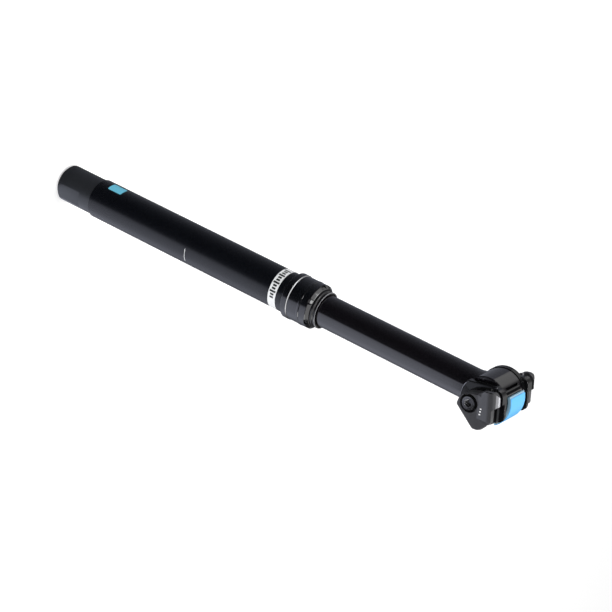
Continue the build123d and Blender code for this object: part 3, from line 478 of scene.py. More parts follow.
# %% Shader group: fine grain, with broad smears over it
def make_grain_group():
    tree, inp, out, where = start_shader_group(
        "fine_grain", ("Grains per metre", 9000.0), ("Smooth", 0.3), ("Rough", 0.45), ("Smears", 0.35)
    )
    grain = fill(add_node(tree, "ShaderNodeTexNoise"), Detail=3.0, Roughness=0.6)
    smear = fill(add_node(tree, "ShaderNodeTexNoise"), Scale=38.0, Detail=4.0, Roughness=0.62)
    fill(smear, Distortion=0.6)
    blend = add_node(tree, "ShaderNodeMix", data_type="FLOAT")
    join(
        tree,
        (where, "Object", grain, "Vector"),
        (where, "Object", smear, "Vector"),
        (inp, "Grains per metre", grain, "Scale"),
        (inp, "Smears", blend, "Factor"),
        (grain, 0, blend, "A"),
        (smear, 0, blend, "B"),
    )
    end_shader_group(tree, inp, out, (blend, "Result"), (grain, 0))
    return tree


grain_group = make_grain_group()
print("sockets of the grain group:", len(grain_group.interface.items_tree))


# %% Shader group: rings left by the lathe
def make_lathe_group():
    tree, inp, out, where = start_shader_group(
        "lathe_rings", ("Rings per metre", 2600.0), ("Smooth", 0.2), ("Rough", 0.35)
    )
    apart = add_node(tree, "ShaderNodeSeparateXYZ")
    rings = add_node(tree, "ShaderNodeTexNoise", noise_dimensions="1D")
    fill(rings, Detail=2.0, Roughness=0.7)
    join(
        tree,
        (where, "Object", apart, 0),
        (apart, "Z", rings, "W"),
        (inp, "Rings per metre", rings, "Scale"),
    )
    end_shader_group(tree, inp, out, (rings, 0), (rings, 0))
    return tree


lathe_group = make_lathe_group()
print("sockets of the lathe group:", len(lathe_group.interface.items_tree))


# %% One function that builds a finish from a group and the shader's own numbers
BUMP_DEPTH = 0.02 * MM


def make_finish(name, colour, group, bump, roughness, pattern_values, metallic=0.0, ior=1.5, tint=0.12):
    material = bpy.data.materials.new(name)
    material.use_nodes = True
    tree = material.node_tree
    shader = fill(tree.nodes["Principled BSDF"], Metallic=metallic, IOR=ior)
    pattern = add_node(tree, "ShaderNodeGroup", node_tree=group)
    fill(pattern, Smooth=roughness[0], Rough=roughness[1], **pattern_values)
    hollow = fill(add_node(tree, "ShaderNodeBump"), Strength=bump, Distance=BUMP_DEPTH)
    shade = add_node(tree, "ShaderNodeMix", data_type="RGBA")
    shade.inputs["A"].default_value = (*[c * (1 - tint) for c in colour], 1)
    shade.inputs["B"].default_value = (*[min(1, c * (1 + tint)) for c in colour], 1)
    join(
        tree,
        (pattern, "Roughness", shader, "Roughness"),
        (pattern, "Height", hollow, "Height"),
        (pattern, "Height", shade, "Factor"),
        (hollow, 0, shader, "Normal"),
        (shade, "Result", shader, "Base Color"),
    )
    return material


def grained(name, colour, bump, grains, roughness, smears=0.35, **look):
    values = {"Grains_per_metre": grains, "Smears": smears}
    return make_finish(name, colour, grain_group, bump, roughness, values, **look)


def ringed(name, colour, bump, rings, roughness, **look):
    return make_finish(name, colour, lathe_group, bump, roughness, {"Rings_per_metre": rings}, **look)


# %% [markdown]
# ## The finish of each material slot
# Each line is one real finish: its colour, how deep its grain is, how many grains a metre holds,
# the smoothest and the roughest it gets, and how much of that is broad smears. Anodising is a
# dense oxide, so its IOR is above plastic's. The satin, blasted and worn surfaces have a lower
# one, because their pits hide part of the gloss.

# %% Dark metal finishes
OXIDE_IOR = 1.7
WORN_IOR = 1.36
BLACK_STEEL = (0.11, 0.11, 0.115)
finishes = {
    "tube_black": grained(
        "satin_black_anodising", (0.0018, 0.0024, 0.0045), 0.08, 14000, (0.22, 0.32), 0.4, ior=1.45
    ),
    "collar_black": ringed(
        "bright_black_anodising", (0.0022, 0.0026, 0.0038), 0.04, 3000, (0.10, 0.15), ior=OXIDE_IOR
    ),
    "stanchion_black": grained(
        "polished_hard_anodising", (0.0034, 0.0028, 0.0040), 0.03, 9000, (0.08, 0.13), 0.6, ior=OXIDE_IOR
    ),
    "housing_grey": grained(
        "blasted_dark_grey", (0.0145, 0.0165, 0.021), 0.30, 7000, (0.36, 0.48), 0.25, ior=1.52
    ),
    "plug_black": ringed("matt_black_anodising", (0.012, 0.012, 0.013), 0.15, 2200, (0.34, 0.46)),
    "clamp_grey": grained(
        "blasted_black_forging", (0.030, 0.030, 0.033), 0.28, 6500, (0.26, 0.38), 0.25, ior=1.48
    ),
    "cradle_black": grained(
        "polished_black_forging", (0.004, 0.004, 0.0045), 0.08, 6500, (0.10, 0.18), 0.5, ior=WORN_IOR
    ),
    "bolt_black": grained("black_oxide_steel", BLACK_STEEL, 0.12, 9000, (0.14, 0.24), 0.5, metallic=0.9),
}
print("dark metal finishes:", len(finishes))

# %% Bright metal, moulded parts and seals
finishes |= {
    "rod_steel": ringed("ground_chrome", (0.60, 0.61, 0.63), 0.05, 5000, (0.08, 0.14), metallic=1.0),
    "plain_steel": ringed("turned_steel", (0.42, 0.42, 0.43), 0.15, 4200, (0.20, 0.36), metallic=1.0),
    "plain_aluminium": ringed(
        "turned_aluminium", (0.62, 0.63, 0.65), 0.15, 3600, (0.24, 0.40), metallic=1.0
    ),
    "brass": grained("milled_brass", (0.68, 0.47, 0.19), 0.12, 5000, (0.24, 0.38), 0.4, metallic=1.0),
    "cap_grey": grained("grey_moulding", (0.24, 0.40, 0.51), 0.25, 5000, (0.40, 0.52), 0.3, tint=0.05),
    "badge_blue": grained(
        "blue_moulding", (0.088, 0.43, 0.81), 0.12, 5000, (0.30, 0.40), 0.4, tint=0.03
    ),
    "bushing_polymer": grained("bearing_polymer", (0.05, 0.09, 0.07), 0.12, 5000, (0.38, 0.50), 0.3),
    "rubber": grained("seal_rubber", (0.006, 0.006, 0.0065), 0.08, 5000, (0.14, 0.24), 0.5),
    "foam": grained("oiled_foam", (0.10, 0.10, 0.095), 0.9, 2600, (0.72, 0.92), 0.2),
}
print("all finishes:", len(finishes))

# %% [markdown]
# ## Worn edges, painted highlights and painted shade
# A forging's rounded edges lose their black first and shine, and their bright metal also paints the
# glints on the rims. The top of the rubber lip is painted pale as a highlight. Deep places are
# painted dead black as shade: gloss would still mirror the room there, so their finish is matt and
# has hardly any reflection.

# %% Finishes for worn edges, painted highlights and painted shade
# Painted shade: a dead black matt finish for places where shade falls
painted_shade_matt = grained("painted_shade_matt_black", (0.0015, 0.0015, 0.0018), 0.05, 5000, (0.70, 0.85), ior=1.12)
# Painted highlight: pale rubber for the top of the wiper's lip
rim_highlight_rubber = grained("seal_rubber_painted_highlight", (0.20, 0.20, 0.21), 0.05, 5000, (0.16, 0.26), 0.5)
# Worn edge metal, bright enough that it also paints the rims' highlights
worn_highlit_edges = {
    "cradle_black": grained(
        "cradle_edge_wear_and_highlight", (0.62, 0.62, 0.64), 0.05, 6500, (0.16, 0.26), 0.6, metallic=1.0
    ),
    "clamp_grey": grained(
        "clamp_edge_wear_and_highlight", (0.20, 0.20, 0.21), 0.05, 6500, (0.16, 0.26), 0.6, metallic=1.0
    ),
    "bolt_black": grained(
        "bolt_edge_wear_and_highlight", (0.55, 0.55, 0.56), 0.05, 6500, (0.12, 0.22), 0.6, metallic=1.0
    ),
}
print("edge finishes:", len(worn_highlit_edges))

# %% [markdown]
# ## Soft edges on the CAD pieces
# A machined edge is never a knife edge: it is broken by a fraction of a millimetre, and that thin
# bevel is what catches the light. A CAD node's mesh is loose triangles and mayn't be changed, so
# each piece is a copy: its doubles are merged, its flat faces are joined into one face each, and a
# Bevel modifier rounds every edge sharper than a given angle. The copy then replaces the node.
# Long thin triangles shade badly on a polished tube. Where a face lies on a surface turned round
# the post's axis or the barrel's, the true normal is known: it leans as the face does, and points
# straight out from the axis at each corner. Those normals are written in.

# %% Settle a modifier into the mesh
SHARP = radians(32)
slot_of = {row["node"]: row["material_slot"] for row in frame["record"]["subparts"]}
bodies = frame["record"]["behaviour"]["bodies"]
body_of_node = {node: body for body, held in bodies.items() for node in held}


def settle(piece):
    graph = bpy.context.evaluated_depsgraph_get()
    seen = piece.evaluated_get(graph)
    settled = bpy.data.meshes.new_from_object(seen, preserve_all_data_layers=True, depsgraph=graph)
    piece.modifiers.clear()
    piece.data = settled
    return piece


print("slots:", len(set(slot_of.values())), "bodies:", len(bodies))

# %% True normals for the round faces
FACET_HALF = cos(radians(9))
COARSE_FACET_HALF = cos(radians(16))
NEARLY_TURNED = 0.993
NEARLY_FLAT = 0.05
ON_THE_AXIS = 0.1 * MM
BARREL_HEIGHT = 373.685
POST_AXIS = (Vector((0, 0, 0)), Vector((0, 0, 1)))
BARREL_AXIS = (Vector((0, 0, BARREL_HEIGHT)) * MM, Vector((0, 1, 0)))
LEAN = radians(12)
RAIL_OUT = 22.0
RAIL_HEIGHT = 12.0


def true_round_normals(mesh, *axes, facet=FACET_HALF):
    """Exact normals where a face lies on a surface turned round one of the axes."""
    normals = [Vector(corner.vector) for corner in mesh.corner_normals]
    trued = 0
    for base, along in axes:
        arms = []
        for vertex in mesh.vertices:
            arm = vertex.co - base
            arm -= along * arm.dot(along)
            arms.append(arm.normalized() if arm.length > ON_THE_AXIS else Vector())
        leans = {}
        met = {}
        for face in mesh.polygons:
            around = [arms[i] for i in face.vertices]
            middle = sum(around, Vector()).normalized()
            if min(arm.dot(middle) for arm in around) < facet:
                continue
            lean = Vector((face.normal.dot(middle), face.normal.dot(along)))
            if lean.length < NEARLY_TURNED or abs(lean.x) < NEARLY_FLAT:
                continue
            leans[face.index] = lean.normalized()
            for i in face.vertices:
                met.setdefault(i, []).append((leans[face.index], face.area))
        for index, lean in leans.items():
            face = mesh.polygons[index]
            for corner, i in zip(face.loop_indices, face.vertices):
                alike = [other * area for other, area in met[i] if other.dot(lean) > cos(SHARP)]
                near = sum(alike, Vector((0, 0))).normalized()
                normals[corner] = arms[i] * near.x + along * near.y
        trued += len(leans)
    if trued:
        mesh.normals_split_custom_set(normals)
    return trued


def rail_axis(side):
    """The rail's line, which the clamp leans with: its middle and its direction."""
    middle = Vector((-sin(LEAN) * RAIL_HEIGHT, side * RAIL_OUT, cos(LEAN) * RAIL_HEIGHT)) * MM
    return BARREL_AXIS[0] + middle, Vector((cos(LEAN), 0, sin(LEAN)))


# %% Copy, merge and bevel one node
MERGED_WITHIN = 0.002 * MM
ONE_PLANE = radians(0.6)
EDGE_SEGMENTS = 3
ROUND_THE_BARREL = ("stanchion", "head_cap", "cap_badge", "left_cradle", "right_cradle")


def finished_piece(piece, node):
    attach(piece, body_of_node[node])
    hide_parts(node)
    return piece


def edge_softened(node, bevel):
    made = bmesh.new()
    made.from_mesh(nodes[node].data)
    bmesh.ops.remove_doubles(made, verts=made.verts, dist=MERGED_WITHIN)
    bmesh.ops.dissolve_limit(made, angle_limit=ONE_PLANE, verts=made.verts, edges=made.edges)
    piece = mesh_object(node + "_dressed", made)
    piece.data.materials.clear()
    piece.data.materials.append(finishes[slot_of[node]])
    piece.data.set_sharp_from_angle(angle=SHARP)
    if bevel:
        soft = piece.modifiers.new("edge", "BEVEL")
        soft.width = bevel * MM
        soft.segments = EDGE_SEGMENTS
        soft.limit_method = "ANGLE"
        soft.angle_limit = SHARP
        soft.harden_normals = True
        soft.use_clamp_overlap = True
        settle(piece)
    axes = (POST_AXIS, BARREL_AXIS) if node in ROUND_THE_BARREL else (POST_AXIS,)
    true_round_normals(piece.data, *axes)
    if node.endswith("_outer_clamp"):
        rail = rail_axis(-1 if node.startswith("left") else 1)
        print(node, "rib faces:", true_round_normals(piece.data, rail, facet=COARSE_FACET_HALF))
    return finished_piece(piece, node)


# %% How far each visible node's edges are broken, and the pieces
EDGES_MM = {
    "outer_tube": 0.15,
    "actuator_housing": 0.25,
    "stanchion": 0.15,
    "head_cap": 0.25,
    "cap_badge": 0.18,
    "left_cradle": 0.35,
    "right_cradle": 0.35,
    "left_outer_clamp": 0.5,
    "right_outer_clamp": 0.5,
    "clamp_bolt": 0.15,
    "bolt_washer": 0.12,
    "clamp_nut": 0.2,
    "end_plug": 0.15,
    "cable_stop": 0.1,
}
MADE_ANEW = ("seal_collar", "wiper_seal", "return_spring")
dressed = {node: edge_softened(node, EDGES_MM.get(node, 0)) for node in nodes if node not in MADE_ANEW}
for node in ("stanchion", "left_outer_clamp", "outer_tube"):
    print(node, "faces:", len(dressed[node].data.polygons))

# %% [markdown]
# ## The wiper seal, turned by Geometry Nodes
# The wiper is moulded rubber, round like a turned part: every section through the axis is the same.
# It could be spun in edit mode or with the Screw modifier. Here Geometry Nodes sweep its section
# round a circle, because the same tree then serves other turned parts, with its sizes as named
# inputs. Curve to Mesh puts the section's x outwards and its y downwards, so the section is
# written as (radius, height) and turned to fit. Its two lips hug the stanchion, one above the
# other, and the groove outside holds a small garter spring on the real part.


# %% How a tree starts and ends
def new_tree(name, *inputs):
    tree = bpy.data.node_groups.new(name, "GeometryNodeTree")
    new = tree.interface.new_socket
    new(name="Geometry", in_out="INPUT", socket_type="NodeSocketGeometry")
    for label, kind, default in inputs:
        socket = new(name=label, in_out="INPUT", socket_type="NodeSocket" + kind)
        if default is not None:
            socket.default_value = default
    new(name="Geometry", in_out="OUTPUT", socket_type="NodeSocketGeometry")
    return tree, add_node(tree, "NodeGroupInput"), add_node(tree, "NodeGroupOutput")


def end_tree(tree, last, inp, out):
    """The last geometry, a node and its output, is made real and painted."""
    real = add_node(tree, "GeometryNodeRealizeInstances")
    paint = add_node(tree, "GeometryNodeSetMaterial")
    join(
        tree,
        (*last, real, "Geometry"),
        (real, "Geometry", paint, "Geometry"),
        (inp, "Material", paint, "Material"),
        (paint, "Geometry", out, "Geometry"),
    )


# %% A lathe as a node tree
def make_lathe_tree():
    tree, inp, out = new_tree(
        "lathe", ("Path radius", "Float", 0.01), ("Steps", "Int", 96), ("Material", "Material", None)
    )
    section = add_node(tree, "GeometryNodeMeshToCurve")
    circle = add_node(tree, "GeometryNodeCurvePrimitiveCircle")
    sweep = add_node(tree, "GeometryNodeCurveToMesh")
    join(
        tree,
        (inp, "Geometry", section, "Mesh"),
        (inp, "Steps", circle, "Resolution"),
        (inp, "Path radius", circle, "Radius"),
        (circle, "Curve", sweep, "Curve"),
        (section, "Curve", sweep, "Profile Curve"),
    )
    end_tree(tree, (sweep, "Mesh"), inp, out)
    return tree


lathe_tree = make_lathe_tree()
print("nodes in the lathe tree:", len(lathe_tree.nodes))


# %% Run a tree on an object and keep the plain mesh
def run_tree(piece, tree, **values):
    modifier = piece.modifiers.new("nodes", "NODES")
    modifier.node_group = tree
    for label, value in values.items():
        socket = tree.interface.items_tree[label.replace("_", " ")]
        modifier[socket.identifier] = value
    settle(piece)
    return piece


def turned(name, section, material, steps=128, sharp=radians(40)):
    """A closed section of (radius, height) pairs in millimetres, anticlockwise, swept round Z."""
    path_radius = min(radius for radius, _ in section)
    made = bmesh.new()
    points = [made.verts.new(((radius - path_radius) * MM, -height * MM, 0)) for radius, height in section]
    for here, there in zip(points, points[1:] + points[:1]):
        made.edges.new((here, there))
    piece = mesh_object(name, made, smooth=False)
    run_tree(piece, lathe_tree, Path_radius=path_radius * MM, Steps=steps, Material=material)
    piece.data.shade_smooth()
    piece.data.set_sharp_from_angle(angle=sharp)
    return piece


# %% The wiper's section, from the foot of its flange round to its lips
low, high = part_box("wiper_seal")
foot, top = low.z / MM, high.z / MM
FLANGE_RADIUS = high.x / MM
FLANGE_HEIGHT = 3.2
FLANGE_CORNER = 0.2
NECK_RADIUS = 14.6
STANCHION_RADIUS = 12.5
LIP_GAP = 0.03
# How far each point lies inside the neck, and how far under the top
GARTER_SIDE = (
    (0, 3.3), (0.35, 2.95), (0.75, 2.6), (0.85, 2.25), (0.75, 1.9), (0.25, 1.6),
    (0, 1.35), (0, 0.35), (0.12, 0.1), (0.38, 0), (0.62, 0.12), (0.80, 0.55),
)
# How far each point stands off the stanchion, and how far under the top
LIP_SIDE = (
    (0.62, 1.35), (0.30, 1.15), (LIP_GAP, 0.95), (LIP_GAP, 1.45), (0.40, 2.6), (0.45, 3.6),
    (LIP_GAP, 4.6), (LIP_GAP, 5.0), (0.45, 6.2),
)
wiper_section = [
    (STANCHION_RADIUS + 0.5, foot),
    (FLANGE_RADIUS - FLANGE_CORNER, foot),
    (FLANGE_RADIUS, foot + FLANGE_CORNER),
    (FLANGE_RADIUS, foot + FLANGE_HEIGHT - FLANGE_CORNER),
    (FLANGE_RADIUS - FLANGE_CORNER, foot + FLANGE_HEIGHT),
    (NECK_RADIUS, foot + FLANGE_HEIGHT + 0.15),
    *[(NECK_RADIUS - inside, top - under) for inside, under in GARTER_SIDE],
    *[(STANCHION_RADIUS + off, top - under) for off, under in LIP_SIDE],
]
print("points of the wiper's section:", len(wiper_section))

# %% Turn the wiper, and paint its rim pale as a highlight
RIM_DEPTH = 0.45
wiper = finished_piece(turned("wiper_seal_turned", wiper_section, finishes["rubber"]), "wiper_seal")
# Painted highlight: the rim's top faces get the pale rubber finish
wiper.data.materials.append(rim_highlight_rubber)
rim = [face for face in wiper.data.polygons if face.center.z > (top - RIM_DEPTH) * MM]
for face in rim:
    face.material_index = 1
print("wiper faces:", len(wiper.data.polygons), "of them on the rim:", len(rim))

# %% [markdown]
# ## The seal collar
# The collar is turned too, but six spanner notches are milled into its top edge, so a plain sweep
# won't do. It could be a sweep with a Boolean modifier, which leaves long thin faces that shade
# badly. Here the mesh is laid out column by column: inside a notch, every point of the outer
# wall steps back to the notch's floor, and two columns share each notch wall's angle. Every corner
# of the section is eased, because those narrow bands are what draws the bright rings.


# %% How corners are eased
SAME_LINE = radians(5)
LONGEST_CUT = 0.4


def eased(section, size):
    """Each real corner becomes three points, so that a narrow rounded band catches the light."""
    soft = []
    count = len(section)
    for i in range(count):
        before, here, after = (Vector(section[j % count]) for j in (i - 1, i, i + 1))
        back, on = before - here, after - here
        if back.angle(-on) < SAME_LINE:
            soft.append(tuple(here))
            continue
        first = here + back.normalized() * min(size, LONGEST_CUT * back.length)
        last = here + on.normalized() * min(size, LONGEST_CUT * on.length)
        soft += [tuple(first), tuple((first + here * 2 + last) / 4), tuple(last)]
    return soft


# %% The collar's sizes, in millimetres
low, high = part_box("seal_collar")
COLLAR_FOOT, COLLAR_TOP = low.z / MM, high.z / MM
COLLAR_BORE = 15.45
GRIP_RADIUS, COLLAR_RADIUS, BEAD_RADIUS = 18.1, 17.6, 17.85
GROOVE_RADIUS, LIP_RADIUS = 17.1, 14.9
COLLAR_CHAMFER = 2.2
GRIP_TOP = COLLAR_FOOT + COLLAR_CHAMFER + 4.6
GROOVE_WIDTH = 0.8
BEAD_TOP = COLLAR_TOP - 8.0
BEAD_FOOT = BEAD_TOP - 2.2
BEAD_SLOPE = 0.4
LIP_FOOT = COLLAR_TOP - 3.65
NOTCH_COUNT, NOTCH_HALF_TURN, NOTCH_FLOOR, NOTCH_HEIGHT = 6, 8.5, 16.4, 3.0
NOTCH_FOOT = COLLAR_TOP - NOTCH_HEIGHT
NOTCH_EDGE = 0.02
print("collar from", round(COLLAR_FOOT, 2), "to", round(COLLAR_TOP, 2), "mm")

# %% The collar's section
collar_section = [
    (COLLAR_BORE, COLLAR_FOOT),
    (GRIP_RADIUS - COLLAR_CHAMFER, COLLAR_FOOT),
    (GRIP_RADIUS, COLLAR_FOOT + COLLAR_CHAMFER),
    (GRIP_RADIUS, GRIP_TOP),
    (GROOVE_RADIUS, GRIP_TOP),
    (GROOVE_RADIUS, GRIP_TOP + GROOVE_WIDTH),
    (COLLAR_RADIUS, GRIP_TOP + GROOVE_WIDTH),
    (COLLAR_RADIUS, BEAD_FOOT),
    (BEAD_RADIUS, BEAD_FOOT + BEAD_SLOPE),
    (BEAD_RADIUS, BEAD_TOP - BEAD_SLOPE),
    (COLLAR_RADIUS, BEAD_TOP),
    (COLLAR_RADIUS, NOTCH_FOOT),
    (COLLAR_RADIUS, NOTCH_FOOT + NOTCH_EDGE),
    (COLLAR_RADIUS, COLLAR_TOP - COLLAR_CHAMFER),
    (COLLAR_RADIUS - COLLAR_CHAMFER, COLLAR_TOP),
    (LIP_RADIUS, COLLAR_TOP),
    (LIP_RADIUS, LIP_FOOT),
    (COLLAR_BORE, LIP_FOOT),
]
print("corners of the collar's section:", len(collar_section))

# %% Lay out the collar in columns
EASE = 0.3
NOTCH_STEPS, PLAIN_STEPS = 8, 18
COLUMNS_MEET = 0.001 * MM


def add_column(made, turn, points):
    """Corners at (radius, height) points in millimetres, all turned round Z by one angle."""
    across, along = cos(turn), sin(turn)
    return [
        made.verts.new((radius * across * MM, radius * along * MM, height * MM))
        for radius, height in points
    ]


def skin_columns(made, columns):
    for here, there in zip(columns, columns[1:]):
        for i in range(len(here)):
            j = (i + 1) % len(here)
            made.faces.new((here[i], there[i], there[j], here[j]))


def make_collar():
    section = eased(collar_section, EASE)
    turn = 360 / NOTCH_COUNT
    places = []
    for notch in range(NOTCH_COUNT):
        first, last = notch * turn - NOTCH_HALF_TURN, notch * turn + NOTCH_HALF_TURN
        plain = turn - 2 * NOTCH_HALF_TURN
        in_notch = [first + (last - first) * step / NOTCH_STEPS for step in range(NOTCH_STEPS + 1)]
        between = [last + plain * step / PLAIN_STEPS for step in range(PLAIN_STEPS + 1)]
        places += [(place, True) for place in in_notch] + [(place, False) for place in between]
    cut_above = NOTCH_FOOT + NOTCH_EDGE / 2
    cut = [
        (min(radius, NOTCH_FLOOR) if height > cut_above else radius, height)
        for radius, height in section
    ]
    made = bmesh.new()
    columns = [add_column(made, radians(place), cut if notched else section) for place, notched in places]
    skin_columns(made, columns + columns[:1])
    bmesh.ops.remove_doubles(made, verts=made.verts, dist=COLUMNS_MEET)
    bmesh.ops.recalc_face_normals(made, faces=made.faces)
    collar = mesh_object("seal_collar_turned", made)
    collar.data.set_sharp_from_angle(angle=SHARP)
    collar.data.materials.append(finishes["collar_black"])
    true_round_normals(collar.data, POST_AXIS)
    return finished_piece(collar, "seal_collar")


collar = make_collar()
print("collar faces:", len(collar.data.polygons))

# %% [markdown]
# ## The bright line in the collar's groove
# A cutter left bare metal where it ran through the black, and this bright steel ring also paints the
# highlight along the groove's edge. The line is a narrow ring of its own, turned by the tree that
# turned the wiper, and it lies in the groove with only one side showing.

# %% Turn the bright line: bare steel and painted highlight
GROOVE_LINE_WIDTH = 0.45
GROOVE_LINE_SUNK = 0.05
GROOVE_LINE_RADIUS = GRIP_RADIUS - 0.12
GROOVE_LINE_FOOT = GRIP_TOP + 0.02
# Bare steel that also paints the highlight along the groove's edge
groove_line_highlight = turned(
    "collar_groove_line_highlight",
    [
        (GROOVE_RADIUS - GROOVE_LINE_SUNK, GRIP_TOP - GROOVE_LINE_SUNK),
        (GROOVE_LINE_RADIUS, GROOVE_LINE_FOOT),
        (GROOVE_LINE_RADIUS - GROOVE_LINE_WIDTH, GROOVE_LINE_FOOT + GROOVE_LINE_WIDTH),
        (GROOVE_RADIUS - GROOVE_LINE_SUNK, GROOVE_LINE_FOOT + GROOVE_LINE_WIDTH),
    ],
    finishes["plain_steel"],
)
true_round_normals(groove_line_highlight.data, POST_AXIS)
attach(groove_line_highlight, "post")
print("faces of the bright line:", len(groove_line_highlight.data.polygons))

# %% [markdown]
# ## The return spring, wound by Geometry Nodes
# A coil spring follows a rule: a round wire along a helix. The tree draws the helix, sweeps the
# wire's circle along it and closes both ends.


# %% The spring's tree
COIL_STEPS = 32
WIRE_STEPS = 12


def make_spring_tree():
    tree, inp, out = new_tree(
        "wound_spring",
        ("Turns", "Float", 3.0),
        ("Coil radius", "Float", 0.002),
        ("Height", "Float", 0.004),
        ("Wire radius", "Float", 0.0003),
        ("Material", "Material", None),
    )
    helix = fill(add_node(tree, "GeometryNodeCurveSpiral"), Resolution=COIL_STEPS)
    wire = fill(add_node(tree, "GeometryNodeCurvePrimitiveCircle"), Resolution=WIRE_STEPS)
    sweep = fill(add_node(tree, "GeometryNodeCurveToMesh"), Fill_Caps=True)
    join(
        tree,
        (inp, "Turns", helix, "Rotations"),
        (inp, "Coil radius", helix, "Start Radius"),
        (inp, "Coil radius", helix, "End Radius"),
        (inp, "Height", helix, "Height"),
        (inp, "Wire radius", wire, "Radius"),
        (helix, "Curve", sweep, "Curve"),
        (wire, "Curve", sweep, "Profile Curve"),
    )
    end_tree(tree, (sweep, "Mesh"), inp, out)
    return tree


spring_tree = make_spring_tree()
print("nodes in the spring tree:", len(spring_tree.nodes))

# %% Wind the spring
WIRE_RADIUS = 0.3 * MM
SPRING_TURNS = 3.0
low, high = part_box("return_spring")
coil_radius = high.x - WIRE_RADIUS
coil_height = high.z - low.z - 2 * WIRE_RADIUS
spring = mesh_object("return_spring_wound", bmesh.new(), smooth=False)
run_tree(
    spring,
    spring_tree,
    Turns=SPRING_TURNS,
    Coil_radius=coil_radius,
    Height=coil_height,
    Wire_radius=WIRE_RADIUS,
    Material=finishes[slot_of["return_spring"]],
)
spring.data.transform(Matrix.Translation((0, 0, low.z + WIRE_RADIUS)))
spring.data.shade_smooth()
finished_piece(spring, "return_spring")
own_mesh(spring)
print("spring's radius and height:", [round(v / MM, 2) for v in (coil_radius, coil_height)])

# %% [markdown]
# ## Printed marks
# The post carries a white band under the collar, a small blue label near its foot, a thin line for
# the least insertion, and three short marks on the clamp's plate. The band holds plain ticks, and
# the label is bare. Ink has almost no thickness, but a mesh needs some: each mark is a closed
# shell, sunk a little into the tube and a little proud.

# %% Inks
inks = {
    "white_ink": grained("white_ink", (0.80, 0.81, 0.82), 0.08, 9000, (0.32, 0.44), 0.5, tint=0.04),
    "black_ink": grained("black_ink", (0.006, 0.006, 0.007), 0.08, 9000, (0.28, 0.38), 0.5),
    "blue_ink": grained("blue_ink", (0.12, 0.50, 0.68), 0.08, 9000, (0.28, 0.38), 0.5, tint=0.05),
}
print("inks:", len(inks))


# %% A patch of ink on the tube
SUNK = 0.05
PROUD = 0.03
TUBE_RADIUS = 15.8
STEP_DEGREES = 2


def tube_patch(name, ink, body, radius, heights, turns, corner=0.0):
    """Heights in millimetres, turns in degrees round Z. Corners are rounded by the corner size."""
    (low, high), (first, last) = heights, turns
    steps = max(3, int((last - first) / STEP_DEGREES))
    made = bmesh.new()
    columns = []
    for step in range(steps + 1):
        turn = radians(first + (last - first) * step / steps)
        from_end = radius * min(turn - radians(first), radians(last) - turn)
        cutback = corner - sqrt(max(0.0, corner**2 - max(0.0, corner - from_end) ** 2))
        foot, top = low + cutback, high - cutback
        inner, outer = radius - SUNK, radius + PROUD
        columns.append(add_column(made, turn, ((inner, foot), (outer, foot), (outer, top), (inner, top))))
    skin_columns(made, columns)
    made.faces.new(reversed(columns[0]))
    made.faces.new(columns[-1])
    bmesh.ops.recalc_face_normals(made, faces=made.faces)
    patch = mesh_object(name, made)
    patch.data.set_sharp_from_angle(angle=SHARP)
    patch.data.materials.append(ink)
    true_round_normals(patch.data, POST_AXIS)
    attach(patch, body)
    return patch


# %% The blue label and the thin line
label = tube_patch(
    "foot_label", inks["blue_ink"], "post", TUBE_RADIUS,
    heights=(10.0, 23.4), turns=(175.0, 207.0), corner=0.8
)
line = tube_patch(
    "insertion_line", inks["white_ink"], "post", TUBE_RADIUS,
    heights=(99.8, 100.25), turns=(-96.0, -54.0)
)
print("faces of the label and the line:", len(label.data.polygons), len(line.data.polygons))

# %% The white band, turned
BAND_LOW = 181.6
BAND_HIGH = 188.6
band = turned(
    "collar_band",
    [
        (TUBE_RADIUS - SUNK, BAND_LOW),
        (TUBE_RADIUS + PROUD, BAND_LOW),
        (TUBE_RADIUS + PROUD, BAND_HIGH),
        (TUBE_RADIUS - SUNK, BAND_HIGH),
    ],
    inks["white_ink"],
)
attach(band, "post")
print("band from", BAND_LOW, "to", BAND_HIGH, "mm")

# %% [markdown]
# ## Short marks on the clamp's plate
# The plate's skin isn't flat, so the marks can't be placed by one depth. A ray shot at the dressed
# plate from the side tells where its skin is, and each mark is set there.

# %% Three short marks on the clamp's left plate
PLATE_MARKS = 3
MARK_STEP = 2.2
MARK_LENGTH = 2.4
MARK_WIDTH = 0.9
FIRST_MARK = (0.2, 6.3)
OUTSIDE = -40.0


def make_plate_marks():
    made = bmesh.new()
    for number in range(PLATE_MARKS):
        bar = bmesh.ops.create_cube(made, size=1.0)["verts"]
        bmesh.ops.scale(made, verts=bar, vec=(MARK_WIDTH * MM, (SUNK + PROUD) * MM, MARK_LENGTH * MM))
        bmesh.ops.rotate(made, verts=bar, matrix=Matrix.Rotation(-LEAN, 3, "Y"))
        x = FIRST_MARK[0] + number * MARK_STEP
        in_front = Vector((x * MM, OUTSIDE * MM, BARREL_AXIS[0].z + FIRST_MARK[1] * MM))
        _, place, _, _ = dressed["left_outer_clamp"].ray_cast(in_front, Vector((0, 1, 0)))
        bmesh.ops.translate(made, verts=bar, vec=place + Vector((0, (SUNK - PROUD) / 2 * MM, 0)))
        print("mark at", [round(v / MM, 2) for v in place])
    marks = mesh_object("plate_marks", made, smooth=False)
    marks.data.materials.append(inks["white_ink"])
    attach(marks, body_of_node["left_outer_clamp"])


make_plate_marks()

# %% [markdown]
# ## Bright edges on the clamp
# The rounded edges of the forgings have lost some of their black, and they shine, and their bright
# metal finish also paints the glints on the rims. The CAD already rounds them, so there is nothing
# to bevel. A face is on such an edge when it leans between the side it faces and the rim, so its
# normal picks it out.


# %% Worn metal and painted highlight on the faces that lean
STEEP = 0.25
FORGED_FLAT, TURNED_FLAT = 0.70, 0.96
CRADLE_RIM, PLATE_RIM, BOLT_RIM = 14.5, 5.0, 5.0


